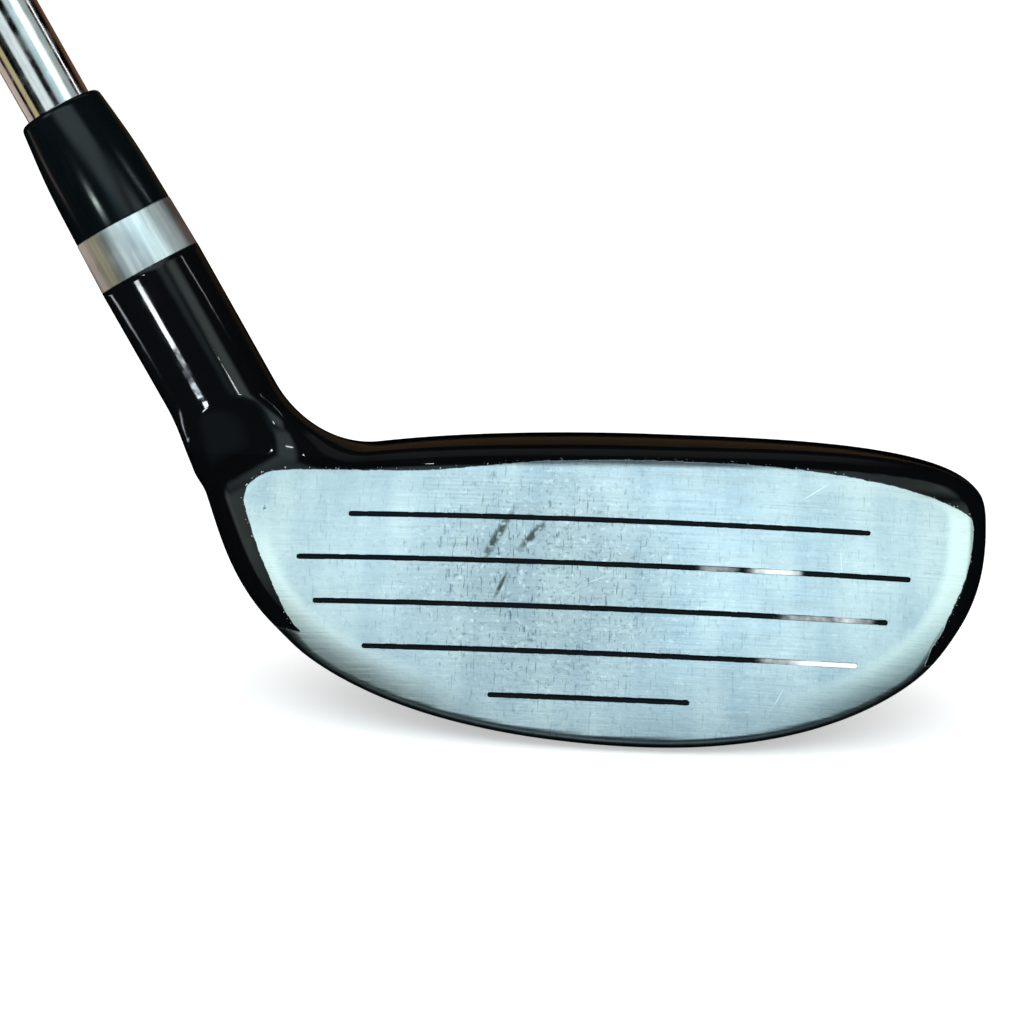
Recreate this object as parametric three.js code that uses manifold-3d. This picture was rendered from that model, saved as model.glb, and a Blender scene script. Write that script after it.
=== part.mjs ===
// A left-handed hybrid golf club standing at address, in millimetres.
// +X runs from heel to toe, the face looks along -Y and +Z is up. The origin is the flat on the
// sole that touches the ground. The shaft leans out over the heel at the lie angle.

import * as THREE from 'three';
import { mergeVertices } from 'three/addons/utils/BufferGeometryUtils.js';
import Module from 'manifold-3d';

const wasm = await Module();
wasm.setup();

// ---------------------------------------------------------------- driving dimensions

const CLUB_LENGTH = 1016; // from the ground to the flat end of the grip, along the shaft's axis
const LIE = THREE.MathUtils.degToRad(60); // shaft axis above the ground
const LOFT = THREE.MathUtils.degToRad(22); // face leaning back from upright
const GAP = 0.3; // between pieces that are welded or rest on each other
const SLIP = 0.06; // radial gap round bonded sleeves

const BODY = {
  toe: 47, // origin to the toe tip
  heel: 58.5, // origin to where the heel's outline would close
  crown: 39.45, // highest point of the crown
  widest: 29.4, // height of the widest line at the front
  rear: 44.5, // origin to the trailing edge
  rearHeight: 13, // height of the trailing edge
  peak: 6, // depth at which the crown is highest
  crownDip: 0.016, // fall of the crown towards the face, per mm squared
  soleFrom: -6, // the sole is level between these two depths
  soleTo: 10,
  soleRise: 0.012, // rise of the sole towards the leading edge, per mm squared
  soleSink: 0.25, // how far the sole's curve dips below the flat ground on it
  wall: 1.4, // skirt, sole and crown
  cavityHeel: -48, // the cavity ends here and the heel is solid
};

// Powers of the outline u^across + w^up = 1 in each quarter of a cross-section.
const QUARTERS = {
  toeTop: { across: 3.1, up: 3 },
  toeLow: { across: 2, up: 2.42 },
  heelTop: { across: 2, up: 2.12 },
  heelLow: { across: 2, up: 2.44 },
};

const FACE = {
  leading: -17.5, // depth of the leading edge on the ground line
  bulge: 260, // radius from heel to toe
  roll: 300, // radius from crown to sole
  centreX: -6.9,
  centreV: 20.6, // distance up the face
  wall: 2.2, // plate over the cavity
  rebate: 2.8, // plate where it beds on the solid heel
  margin: 5, // plate's edge inside the head's outline
  outlineDepth: 4, // the head's outline is taken this far behind the face
  reach: 8, // cutting tools start this far in front of the face's tangent plane
  cut: 14, // and end this far behind it
};

/** Rounding between the face and the skirt: crisp along the sole, full at heel and toe. */
const EDGE = {
  crown: 1.8,
  side: 3,
  sole: 1.3,
  soleTo: 9, // height up to which the sole's rounding runs
  soleBlend: 7, // height over which it grows into the rest
  toe: { outer: 5, inner: 19 }, // distances from the toe between which the side's rounding fades
  heel: { outer: 6.5, inner: 18.5 },
  top: { upper: 2.5, lower: 8.5 }, // distances below the crown between which it fades
};

const HOSEL = {
  heelX: -36.3, // where the shaft's axis meets the ground
  setback: 7.5, // depth of the shaft's axis
  top: 70.3, // ground to the hosel's mouth, along the axis
  radius: 7.6,
  root: 22, // the round neck ends this far along the axis, inside the head
  fillet: 9, // fillet between the neck and the crown
  sweepFrom: 37, // along the axis, where the face's flat starts to sweep forward
  sweep: 0.06, // how fast it does, per mm squared
  boreDepth: 26,
  boreSlip: 0.35, // room for adhesive round the shaft's tip
  turnAt: 47.6, // along the axis, where the neck's straight part starts
  turnRadius: 21.9, // of the bend that the head's spine takes to meet it
};

const CROWN_PLATE = { side: 5, front: 6, corner: 6, low: 20 };
const SOLE_PLATE = { waterline: 4, front: 7, corner: 4, high: 10 };
const WEIGHT_PLUG = { x: -5, y: 23, radius: 6.5, top: 7.5 };
const RESIN = { top: 5.5, clearance: 0.3, plugClearance: 0.6 };
const CAVITY = { frontRound: 1.5, heelRound: 3 }; // roundings inside the shell
const OUTSIDE = 400; // size of the blocks that trim whatever lies past a plane
const OVERCUT = 5; // how far cutting bars run past the surface that they cut

const SCORE_LINES = {
  underCrown: 10.35, // top line below the crown's height, along the face
  overGround: 7.72, // bottom line above the ground line, along the face
  width: 0.64,
  depth: 0.45,
  paintTop: 0.12, // the paint lies this far below the face
  paintFloor: 0.38,
  paintInset: 0.07,
  // How far each line ends from the heel and toe ends of the body, from the top line down.
  ends: [
    { heel: 17, toe: 16.7 },
    { heel: 10, toe: 11.1 },
    { heel: 12.7, toe: 14.2 },
    { heel: 19.9, toe: 18.2 },
    { heel: 37.5, toe: 40.8 },
  ],
};

const SHAFT = {
  tipRadius: 4.7,
  buttRadius: 7.62,
  wall: 0.42,
  tipLength: 200, // parallel tip
  steps: 14,
  stepLength: 38.1,
  stepRamp: 1, // each step's short cone
  tipGap: 0.6, // shaft's end above the bore's floor
};

const BAND = {
  length: 7.5,
  inset: 0.02, // its foot inside the hosel's radius
  draw: 0.23, // how much narrower its top is
};

const FERRULE = {
  length: 17.7,
  inset: 0.05, // its foot inside the band's top
  waist: 0.22, // share of the taper that is done half-way up
  shoulderWall: 1.25, // wall over the shaft where the rounded shoulder begins
  rimWall: 0.6, // wall over the shaft at the mouth
  shoulder: 1, // length of the rounded shoulder
};

const TIP_PLUG = { length: 16, inset: 1 };
const LABEL = { step: 8, inset: 3, thickness: 0.12 }; // inset from each end of its step
const TAPE = { length: 255, thickness: 0.15, inset: 1 };

const GRIP = {
  length: 267,
  mouthWall: 1.01,
  lipWall: 1.51,
  buttWall: 5.11,
  lipLength: 4,
  lipRound: 0.8,
  lipRamp: 1.5,
  capLength: 7,
  capLedge: 0.4, // the cap stands proud of the sleeve by this
  capRound: 1.5,
  ventRadius: 1.5,
};

const FACETS = {
  body: 44, // rays round the head
  bodyStations: 24,
  fanStations: 10,
  neckStations: 3,
  cavity: 28, // rays round the cavity
  cavityStations: 18,
  round: 24, // sides of the lathed pieces
  crowdAt: 3.9, // direction of the leading edge from the spine, where the rays crowd together
  crowd: 0.4,
};

// ---------------------------------------------------------------- materials

const finish = (name, color, metalness, roughness) =>
  new THREE.MeshStandardMaterial({ name, color, metalness, roughness });

const MATERIALS = {
  blackPaint: finish('gloss_black_paint', 0x101113, 0.1, 0.12),
  satinSteel: finish('satin_brushed_steel', 0x9ba1ab, 1, 0.38),
  darkSteel: finish('sole_steel', 0x7d8188, 1, 0.42),
  paintFill: finish('score_line_paint', 0x17181a, 0, 0.6),
  bandSteel: finish('polished_satin_band', 0xb9bcc0, 1, 0.25),
  ferrule: finish('black_ferrule_plastic', 0x0c0c0e, 0, 0.18),
  chrome: finish('chrome_plated_steel', 0xc9ccd0, 1, 0.06),
  tungsten: finish('tungsten_slug', 0x6f7175, 1, 0.45),
  epoxy: finish('epoxy', 0xc9b26a, 0, 0.4),
  resin: finish('damping_resin', 0xd9c48a, 0, 0.5),
  brass: finish('brass', 0xb5924a, 1, 0.35),
  vinyl: finish('shaft_band_vinyl', 0x2b2d31, 0, 0.4),
  tape: finish('grip_tape', 0xd8cfb4, 0, 0.9),
  rubber: finish('grip_rubber', 0x1b1b1d, 0, 0.85),
  capRubber: finish('grip_cap_rubber', 0x232326, 0, 0.7),
};

// ---------------------------------------------------------------- small helpers

const clamp01 = (t) => Math.min(1, Math.max(0, t));
const mix = (a, b, t) => a + (b - a) * t;

/** A smooth 0 to 1 ramp between two values. */
function ramp(from, to, value) {
  const t = clamp01((value - from) / (to - from));
  return t * t * (3 - 2 * t);
}

/** One minus a power, itself raised to a power: the quarter-ellipse-like tapers of the head. */
const taper = (t, power, root) => Math.max(1 - t ** power, 1e-4) ** root;

/** Intersection of two distances with a round of the given radius along the edge. */
function roundedBoth(a, b, radius) {
  const past = Math.hypot(Math.max(a + radius, 0), Math.max(b + radius, 0));
  return Math.min(-radius, Math.max(a, b)) + past;
}

/** Union of two distances with a fillet of the given radius. */
function filletedEither(a, b, radius) {
  const inside = Math.hypot(Math.max(radius - a, 0), Math.max(radius - b, 0));
  return Math.max(radius, Math.min(a, b)) - inside;
}

// ---------------------------------------------------------------- the head's shape as a distance field

/** Heights of crown, sole and widest line, and the plan's share of its full width, at depth y. */
function sectionAt(y) {
  const back = clamp01((y - BODY.peak) / (BODY.rear - BODY.peak));
  const lift = clamp01((y - BODY.soleTo) / (BODY.rear - BODY.soleTo));
  const tail = BODY.rearHeight;
  const dip = BODY.crownDip * Math.max(BODY.peak - y, 0) ** 2;
  const rise = BODY.soleRise * Math.max(BODY.soleFrom - y, 0) ** 2;
  return {
    top: tail + (BODY.crown - tail) * taper(back, 2, 0.6) - dip,
    bottom: tail - (tail + BODY.soleSink) * taper(lift, 2.6, 0.6) + rise,
    widest: tail + (BODY.widest - tail) * taper(back, 2.2, 0.8),
    plan: taper(back, 2.5, 0.5),
  };
}

/** The body's outline power, blended between its four quarters. */
function blendedPower(key, toeShare, topShare) {
  const low = mix(QUARTERS.heelLow[key], QUARTERS.toeLow[key], toeShare);
  const high = mix(QUARTERS.heelTop[key], QUARTERS.toeTop[key], toeShare);
  return mix(low, high, topShare);
}

/** Below 0 inside the rounded body, without its hosel or flat face. Not yet a distance. */
function bodyLevel(x, y, z) {
  const section = sectionAt(y);
  const half = x > 0 ? BODY.toe : BODY.heel;
  const reach = z > section.widest ? section.top - section.widest : section.widest - section.bottom;
  const u = Math.abs(x) / (half * section.plan);
  const w = Math.abs(z - section.widest) / Math.max(reach, 0.3);
  const toeShare = ramp(-8, 8, x);
  const topShare = ramp(-4, 4, z - section.widest);
  const across = blendedPower('across', toeShare, topShare);
  const up = blendedPower('up', toeShare, topShare);
  return (u ** across + w ** up) ** (2 / (across + up)) - 1;
}

/** Distance to the rounded body: its level over the length of the level's gradient. */
function bodyDistance(x, y, z) {
  const h = 0.05;
  const gx = bodyLevel(x + h, y, z) - bodyLevel(x - h, y, z);
  const gy = bodyLevel(x, y + h, z) - bodyLevel(x, y - h, z);
  const gz = bodyLevel(x, y, z + h) - bodyLevel(x, y, z - h);
  const distance = bodyLevel(x, y, z) / (Math.hypot(gx, gy, gz) / (2 * h) + 1e-9);
  return Math.max(distance, y - BODY.rear);
}

/** How far the bulged and rolled face lies behind its tangent plane, at x and v up the face. */
function faceSag(x, v) {
  return (x - FACE.centreX) ** 2 / (2 * FACE.bulge) + (v - FACE.centreV) ** 2 / (2 * FACE.roll);
}

/** Distance in front of the face. */
function faceDistance(x, y, z) {
  const v = (y - FACE.leading) * Math.sin(LOFT) + z * Math.cos(LOFT);
  const out = z * Math.sin(LOFT) - (y - FACE.leading) * Math.cos(LOFT);
  return out + faceSag(x, v);
}

/** Depth of the face at x and height z. */
function faceDepth(x, z) {
  let y = FACE.leading + z * Math.tan(LOFT);
  for (let pass = 0; pass < 3; pass += 1) {
    y += faceDistance(x, y, z) / Math.cos(LOFT);
  }
  return y;
}

/** Distance outside the head's outline as seen square on to the face. */
function outlineDistance(x, z) {
  return bodyDistance(x, faceDepth(x, z) + FACE.outlineDepth, z);
}

/** Distance along the shaft's axis from the ground, and out from that axis. */
function alongShaft(x, y, z) {
  const along = (HOSEL.heelX - x) * Math.cos(LIE) + z * Math.sin(LIE);
  const across = (x - HOSEL.heelX) * Math.sin(LIE) + z * Math.cos(LIE);
  const beyond = Math.min(along - HOSEL.root, 0);
  return { along, out: Math.hypot(across, y - HOSEL.setback, beyond) };
}

/** Radius of the rounding between the face and the skirt at one place. */
function edgeRadius(x, z) {
  const atToe = ramp(BODY.toe - EDGE.toe.inner, BODY.toe - EDGE.toe.outer, x);
  const atHeel = ramp(BODY.heel - EDGE.heel.inner, BODY.heel - EDGE.heel.outer, -x);
  const belowTop = 1 - ramp(BODY.crown - EDGE.top.lower, BODY.crown - EDGE.top.upper, z);
  const upper = mix(EDGE.crown, EDGE.side, Math.max(atToe * belowTop, atHeel));
  return mix(EDGE.sole, upper, ramp(EDGE.soleTo, EDGE.soleTo + EDGE.soleBlend, z));
}

/** Distance to the whole solid head. The flat of the face sweeps forward up the neck to clear it. */
function headDistance(x, y, z) {
  const neck = alongShaft(x, y, z);
  const hosel = Math.max(neck.out - HOSEL.radius, neck.along - HOSEL.top);
  const joined = filletedEither(bodyDistance(x, y, z), hosel, HOSEL.fillet);
  const sweep = HOSEL.sweep * Math.max(neck.along - HOSEL.sweepFrom, 0) ** 2;
  return roundedBoth(joined, faceDistance(x, y, z) - sweep, edgeRadius(x, z));
}

/** Distance to the cavity inside the head. */
function cavityDistance(x, y, z) {
  const shell = bodyDistance(x, y, z) + BODY.wall;
  const room = roundedBoth(shell, faceDistance(x, y, z) + FACE.wall, CAVITY.frontRound);
  return roundedBoth(room, BODY.cavityHeel - x, CAVITY.heelRound);
}

// ---------------------------------------------------------------- surfaces found by rays from a spine

const ACROSS = new THREE.Vector3(0, 1, 0);
const shaftPoint = (along) =>
  new THREE.Vector3(HOSEL.heelX - along * Math.cos(LIE), HOSEL.setback, along * Math.sin(LIE));

/** A station on the head's spine: its centre and the in-plane direction that points up. */
function bodyStation(x) {
  const towardToe = ramp(28, BODY.toe, x);
  return {
    centre: new THREE.Vector3(x, 8 - 4 * towardToe, mix(24, BODY.widest - 1, towardToe)),
    up: new THREE.Vector3(0, 0, 1),
  };
}

/** Stations from the toe to the neck's foot, then turning to the shaft's axis, then up the neck. */
function headStations() {
  const { turnAt, turnRadius } = HOSEL;
  const lean = new THREE.Vector3(Math.sin(LIE), 0, Math.cos(LIE));
  const pivot = shaftPoint(turnAt).addScaledVector(lean, turnRadius);
  const stations = [];
  const tip = BODY.toe - 0.02;
  for (let k = 0; k <= FACETS.bodyStations; k += 1) {
    const t = k / FACETS.bodyStations;
    stations.push(bodyStation(tip - (tip - pivot.x) * (1 - Math.cos((t * Math.PI) / 2))));
  }
  const start = stations[stations.length - 1].centre;
  for (let k = 1; k <= FACETS.fanStations; k += 1) {
    const t = k / FACETS.fanStations;
    const up = new THREE.Vector3(Math.sin(LIE * t), 0, Math.cos(LIE * t));
    const centre = pivot.clone().addScaledVector(up, -mix(pivot.z - start.z, turnRadius, t));
    centre.y = mix(start.y, HOSEL.setback, t);
    stations.push({ centre, up });
  }
  for (let k = 1; k <= FACETS.neckStations; k += 1) {
    const along = mix(turnAt, HOSEL.top - 0.01, k / FACETS.neckStations);
    stations.push({ centre: shaftPoint(along), up: lean });
  }
  return stations;
}

/** Stations inside the cavity, from the toe to the solid heel. */
function cavityStations() {
  const from = BODY.toe - BODY.wall - 0.1;
  const to = BODY.cavityHeel + 0.1;
  const count = FACETS.cavityStations;
  return Array.from({ length: count + 1 }, (_, k) => {
    const share = 0.5 - 0.5 * Math.cos((k / count) * Math.PI);
    return bodyStation(mix(from, to, share));
  });
}

/** Where a ray leaves the solid: a march outwards, then halving. */
function rayExit(distance, centre, direction) {
  const at = (reach) =>
    distance(
      centre.x + direction.x * reach,
      centre.y + direction.y * reach,
      centre.z + direction.z * reach,
    );
  let far = 1;
  while (far < 90 && at(far) <= 0) {
    far += 1;
  }
  let near = far - 1;
  for (let pass = 0; pass < 16; pass += 1) {
    const middle = (near + far) / 2;
    if (at(middle) > 0) {
      far = middle;
    } else {
      near = middle;
    }
  }
  return centre.clone().addScaledVector(direction, near);
}

/** Mean of a ring's points: the tip that closes the surface there. */
function ringMiddle(ring) {
  const middle = new THREE.Vector3();
  ring.forEach((point) => middle.addScaledVector(point, 1 / ring.length));
  return middle;
}

/** The closed surface where a distance field is zero, as rings of ray exits round a spine. */
function fieldSurface(distance, stations, rays) {
  const rings = stations.map(({ centre, up }) =>
    Array.from({ length: rays }, (_, k) => {
      const even = FACETS.crowdAt + (k / rays) * 2 * Math.PI;
      const turn = even + FACETS.crowd * Math.sin(FACETS.crowdAt - even);
      const direction = ACROSS.clone().multiplyScalar(Math.cos(turn)).addScaledVector(up, Math.sin(turn));
      return rayExit(distance, centre, direction);
    }),
  );
  const points = rings.flat();
  points.push(ringMiddle(rings[0]), ringMiddle(rings[rings.length - 1]));
  const index = [];
  for (let k = 0; k < rays; k += 1) {
    const next = (k + 1) % rays;
    index.push(points.length - 2, k, next);
    for (let ring = 0; ring + 1 < rings.length; ring += 1) {
      const a = ring * rays + k;
      const b = ring * rays + next;
      index.push(a, a + rays, b, b, a + rays, b + rays);
    }
    const base = (rings.length - 1) * rays;
    index.push(points.length - 1, base + next, base + k);
  }
  const geometry = new THREE.BufferGeometry().setFromPoints(points);
  geometry.setIndex(index);
  return geometry;
}

// ---------------------------------------------------------------- joining and cutting

/** A solid from a closed geometry, with shared vertices merged and flat slivers dropped. */
function solidOf(geometry, matrix = new THREE.Matrix4()) {
  const bare = geometry.clone().applyMatrix4(matrix);
  bare.deleteAttribute('normal');
  bare.deleteAttribute('uv');
  const merged = mergeVertices(bare, 1e-4);
  const corners = merged.index.array;
  const kept = [];
  for (let k = 0; k < corners.length; k += 3) {
    const [a, b, c] = corners.slice(k, k + 3);
    if (a !== b && b !== c && c !== a) {
      kept.push(a, b, c);
    }
  }
  const mesh = new wasm.Mesh({
    numProp: 3,
    vertProperties: merged.attributes.position.array,
    triVerts: new Uint32Array(kept),
  });
  mesh.merge();
  return new wasm.Manifold(mesh);
}

/** A three.js geometry from a solid. */
function geometryOf(solid) {
  const mesh = solid.getMesh();
  const geometry = new THREE.BufferGeometry();
  geometry.setAttribute('position', new THREE.BufferAttribute(mesh.vertProperties, 3));
  geometry.setIndex(new THREE.BufferAttribute(mesh.triVerts, 1));
  return geometry;
}

/** A straight prism of an outline, from a low to a high level along its own third axis. */
function prism(outline, low, high, frame = new THREE.Matrix4()) {
  const shape = outline instanceof THREE.Shape ? outline : new THREE.Shape(outline);
  const options = { depth: high - low, bevelEnabled: false, curveSegments: 3 };
  const geometry = new THREE.ExtrudeGeometry(shape, options);
  geometry.translate(0, 0, low);
  return solidOf(geometry, frame);
}

/** The closed outline round a centre on which a plane field is zero. */
function outlineOf(field, centre, count) {
  const from = new THREE.Vector3(centre.x, centre.y, 0);
  return Array.from({ length: count }, (_, k) => {
    const turn = (k / count) * 2 * Math.PI;
    const exit = rayExit(field, from, new THREE.Vector3(Math.cos(turn), Math.sin(turn), 0));
    return new THREE.Vector2(exit.x, exit.y);
  });
}

/** Signed distance to a closed outline, below 0 inside it. */
function distanceToOutline(outline, x, y) {
  let nearest = Infinity;
  let inside = false;
  outline.forEach((from, k) => {
    const to = outline[(k + 1) % outline.length];
    const edge = to.clone().sub(from);
    const t = clamp01(((x - from.x) * edge.x + (y - from.y) * edge.y) / edge.lengthSq());
    nearest = Math.min(nearest, Math.hypot(x - from.x - t * edge.x, y - from.y - t * edge.y));
    if (from.y > y !== to.y > y && x < from.x + ((y - from.y) * edge.x) / edge.y) {
      inside = !inside;
    }
  });
  return inside ? -nearest : nearest;
}

// ---------------------------------------------------------------- frames

/** The face's own frame: x, v up the face and n out of it, from the leading edge. */
const FACE_FRAME = new THREE.Matrix4()
  .makeTranslation(0, FACE.leading, 0)
  .multiply(new THREE.Matrix4().makeRotationX(Math.PI / 2 - LOFT));

/** The shaft's frame: its third axis runs up the shaft from the ground. */
const SHAFT_FRAME = new THREE.Matrix4()
  .makeTranslation(HOSEL.heelX, HOSEL.setback, 0)
  .multiply(new THREE.Matrix4().makeRotationY(LIE - Math.PI / 2));

/** Everything behind the face by more than a depth, as a block in the face's frame. */
function behindFace(depth) {
  const width = BODY.toe + BODY.heel + 20;
  const height = 2 * BODY.crown;
  const thickness = 20;
  const geometry = new THREE.BoxGeometry(width, height, thickness, 28, 8, 1);
  geometry.translate(0, height / 2 - 10, 0);
  const points = geometry.attributes.position;
  for (let k = 0; k < points.count; k += 1) {
    const top = -faceSag(points.getX(k), points.getY(k)) - depth;
    points.setZ(k, points.getZ(k) > 0 ? top : top - thickness);
  }
  return solidOf(geometry, FACE_FRAME);
}

// ---------------------------------------------------------------- outlines of the welded plates

/** The head's own outline as seen square on to the face, in the face's frame. */
const HEAD_OUTLINE = outlineOf(
  (x, v) => outlineDistance(x, v * Math.cos(LOFT) - faceSag(x, v) * Math.sin(LOFT)),
  { x: FACE.centreX, y: FACE.centreV },
  72,
);

/** The head's outline in plan, along its widest line. */
const PLAN_OUTLINE = outlineOf(
  (x, y) => bodyDistance(x, y, sectionAt(y).widest),
  { x: 0, y: BODY.soleTo },
  72,
);

/** Edge of the face plate, in the face's frame. */
function facePlateOutline(inset) {
  const field = (x, v) => distanceToOutline(HEAD_OUTLINE, x, v) + FACE.margin + inset;
  return outlineOf(field, { x: FACE.centreX, y: FACE.centreV }, 40);
}

/** Edge of the crown plate, in plan. */
function crownPlateOutline(inset) {
  const field = (x, y) => {
    const side = distanceToOutline(PLAN_OUTLINE, x, y) + CROWN_PLATE.side + inset;
    const front = faceDepth(x, BODY.crown) + CROWN_PLATE.front + inset - y;
    const heel = BODY.cavityHeel + CROWN_PLATE.side + inset - x;
    return roundedBoth(roundedBoth(side, front, CROWN_PLATE.corner), heel, CROWN_PLATE.corner);
  };
  return outlineOf(field, { x: 0, y: (BODY.peak + BODY.rear) / 2 }, 32);
}

/** Edge of the sole plate, in plan: the sole's own waterline, kept back from the face. */
function solePlateOutline(inset) {
  const field = (x, y) => {
    const side = bodyDistance(x, y, SOLE_PLATE.waterline) + inset;
    const front = faceDepth(x, 0) + SOLE_PLATE.front + inset - y;
    return roundedBoth(side, front, SOLE_PLATE.corner);
  };
  return outlineOf(field, { x: 0, y: BODY.soleTo }, 28);
}

/** A stadium-shaped score line, in the face's frame. */
function scoreLineOutline(row, inset) {
  const { heel, toe } = SCORE_LINES.ends[row];
  const highest = BODY.crown / Math.cos(LOFT) - SCORE_LINES.underCrown;
  const v = mix(highest, SCORE_LINES.overGround, row / (SCORE_LINES.ends.length - 1));
  const round = SCORE_LINES.width / 2;
  const shape = new THREE.Shape();
  shape.absarc(BODY.toe - toe - round, v, round - inset, -Math.PI / 2, Math.PI / 2, false);
  shape.absarc(heel - BODY.heel + round, v, round - inset, Math.PI / 2, (3 * Math.PI) / 2, false);
  shape.closePath();
  return shape;
}

// ---------------------------------------------------------------- pieces of the head

/** A block that holds everything above a level, or below it. */
function blockFrom(level, side) {
  const geometry = new THREE.BoxGeometry(OUTSIDE, OUTSIDE, OUTSIDE);
  geometry.translate(0, 0, level + (side * OUTSIDE) / 2);
  return solidOf(geometry);
}

/** A round bar along the shaft's axis. */
function shaftBar(radius, from, to) {
  return solidOf(lathe([[0, from], [radius, from], [radius, to], [0, to]]), SHAFT_FRAME);
}

/** A round upright bar in the sole. */
function plugBar(radius, top) {
  const frame = new THREE.Matrix4().makeTranslation(WEIGHT_PLUG.x, WEIGHT_PLUG.y, 0);
  return solidOf(lathe([[0, -OVERCUT], [radius, -OVERCUT], [radius, top], [0, top]]), frame);
}

/** A prism through the face, from in front of it to behind it. */
const throughFace = (outline) => prism(outline, -FACE.cut, FACE.reach, FACE_FRAME);

/** A prism through the crown, in plan. */
const throughCrown = (inset) =>
  prism(crownPlateOutline(inset), CROWN_PLATE.low, BODY.crown + OVERCUT);

/** A prism through the sole, in plan. */
const throughSole = (inset) => prism(solePlateOutline(inset), -OVERCUT, SOLE_PLATE.high);

/** The welded head: body casting, face, crown and sole plates, weight plug, resin and line paint. */
function headPieces() {
  const wholeHead = solidOf(fieldSurface(headDistance, headStations(), FACETS.body));
  const outer = wholeHead.subtract(blockFrom(0, -1));
  const cavity = solidOf(fieldSurface(cavityDistance, cavityStations(), FACETS.cavity));
  const shell = outer.subtract(cavity);
  const faceRoom = throughFace(facePlateOutline(0)).subtract(behindFace(FACE.rebate + GAP));
  const bore = shaftBar(boreRadius(), HOSEL.top - HOSEL.boreDepth, HOSEL.top + OVERCUT);
  const body = shell.subtract(faceRoom).subtract(throughCrown(0)).subtract(throughSole(0));
  const facePlate = shell
    .intersect(throughFace(facePlateOutline(GAP)))
    .subtract(behindFace(FACE.rebate));
  const plugRoom = plugBar(WEIGHT_PLUG.radius + GAP, SOLE_PLATE.high);
  return {
    head_body: [scored(body.subtract(bore)), MATERIALS.blackPaint],
    face_plate: [scored(facePlate), MATERIALS.satinSteel],
    crown_plate: [shell.intersect(throughCrown(GAP)), MATERIALS.blackPaint],
    sole_plate: [shell.intersect(throughSole(GAP)).subtract(plugRoom), MATERIALS.darkSteel],
    weight_plug: [outer.intersect(plugBar(WEIGHT_PLUG.radius, WEIGHT_PLUG.top)), MATERIALS.tungsten],
    damping_resin: [resinPuddle(), MATERIALS.resin],
    ...linePaint(),
  };
}

/** The steel of the face with its score lines cut in it, wherever they run over it. */
function scored(steel) {
  return SCORE_LINES.ends.reduce((left, _, row) => left.subtract(scoreLineRoom(row)), steel);
}

/** The groove of one score line. */
function scoreLineRoom(row) {
  return throughFace(scoreLineOutline(row, 0)).subtract(behindFace(SCORE_LINES.depth));
}

/** The paint in each score line, just off the groove's floor and sides. */
function linePaint() {
  const below = behindFace(SCORE_LINES.paintTop);
  const floor = behindFace(SCORE_LINES.paintFloor);
  return Object.fromEntries(
    SCORE_LINES.ends.map((_, row) => {
      const bar = throughFace(scoreLineOutline(row, SCORE_LINES.paintInset));
      return [`line_fill_${row + 1}`, [bar.intersect(below).subtract(floor), MATERIALS.paintFill]];
    }),
  );
}

/** Resin that was poured in while the head sat on its sole, so its top is level. */
function resinPuddle() {
  const inside = (x, y, z) => cavityDistance(x, y, z) + RESIN.clearance;
  const stations = cavityStations();
  const room = solidOf(fieldSurface(inside, stations.slice(2, -2), FACETS.cavity));
  const plugRoom = plugBar(WEIGHT_PLUG.radius + RESIN.plugClearance, SOLE_PLATE.high);
  return room.subtract(blockFrom(RESIN.top, 1)).subtract(plugRoom);
}

// ---------------------------------------------------------------- round pieces on the shaft

/** A lathed body from [radius, height] pairs. A profile off the axis is closed on itself. */
function lathe(profile) {
  const points = profile.map(([radius, along]) => new THREE.Vector2(radius, along));
  if (profile[0][0] > 0) {
    points.push(points[0].clone());
  }
  const geometry = new THREE.LatheGeometry(points, FACETS.round);
  geometry.rotateX(Math.PI / 2);
  return geometry;
}

const boreRadius = () => SHAFT.tipRadius + HOSEL.boreSlip;
const bandTopRadius = () => HOSEL.radius - BAND.inset - BAND.draw;
const gripBore = () => SHAFT.buttRadius + TAPE.thickness + 2 * SLIP;
const tipEnd = () => HOSEL.top - HOSEL.boreDepth + SHAFT.tipGap;
const buttEnd = () => CLUB_LENGTH - GRIP.capLength - GAP;
const taperStart = () => tipEnd() + SHAFT.tipLength;
const stepRise = () => (SHAFT.buttRadius - SHAFT.tipRadius) / SHAFT.steps;

/** The stepped tube, with a plain taper inside. */
function shaftTube() {
  const outside = [[SHAFT.tipRadius, tipEnd()]];
  for (let step = 0; step < SHAFT.steps; step += 1) {
    const along = taperStart() + step * SHAFT.stepLength;
    const radius = SHAFT.tipRadius + step * stepRise();
    outside.push([radius, along], [radius + stepRise(), along + SHAFT.stepRamp]);
  }
  outside.push([SHAFT.buttRadius, buttEnd()]);
  const lastStep = taperStart() + (SHAFT.steps - 1) * SHAFT.stepLength;
  const inside = [
    [SHAFT.buttRadius - SHAFT.wall, buttEnd()],
    [SHAFT.buttRadius - SHAFT.wall, lastStep + SHAFT.stepLength],
    [SHAFT.tipRadius - SHAFT.wall, taperStart()],
    [SHAFT.tipRadius - SHAFT.wall, tipEnd()],
  ];
  return lathe([...outside, ...inside]);
}

/** A sleeve between two radii. */
const sleeve = (inner, outer, from, to) =>
  lathe([[inner, from], [outer, from], [outer, to], [inner, to]]);

function hoselBand() {
  const inner = SHAFT.tipRadius + SLIP;
  const from = HOSEL.top + GAP;
  const to = HOSEL.top + BAND.length;
  return lathe([[inner, from], [HOSEL.radius - BAND.inset, from], [bandTopRadius(), to], [inner, to]]);
}

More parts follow.
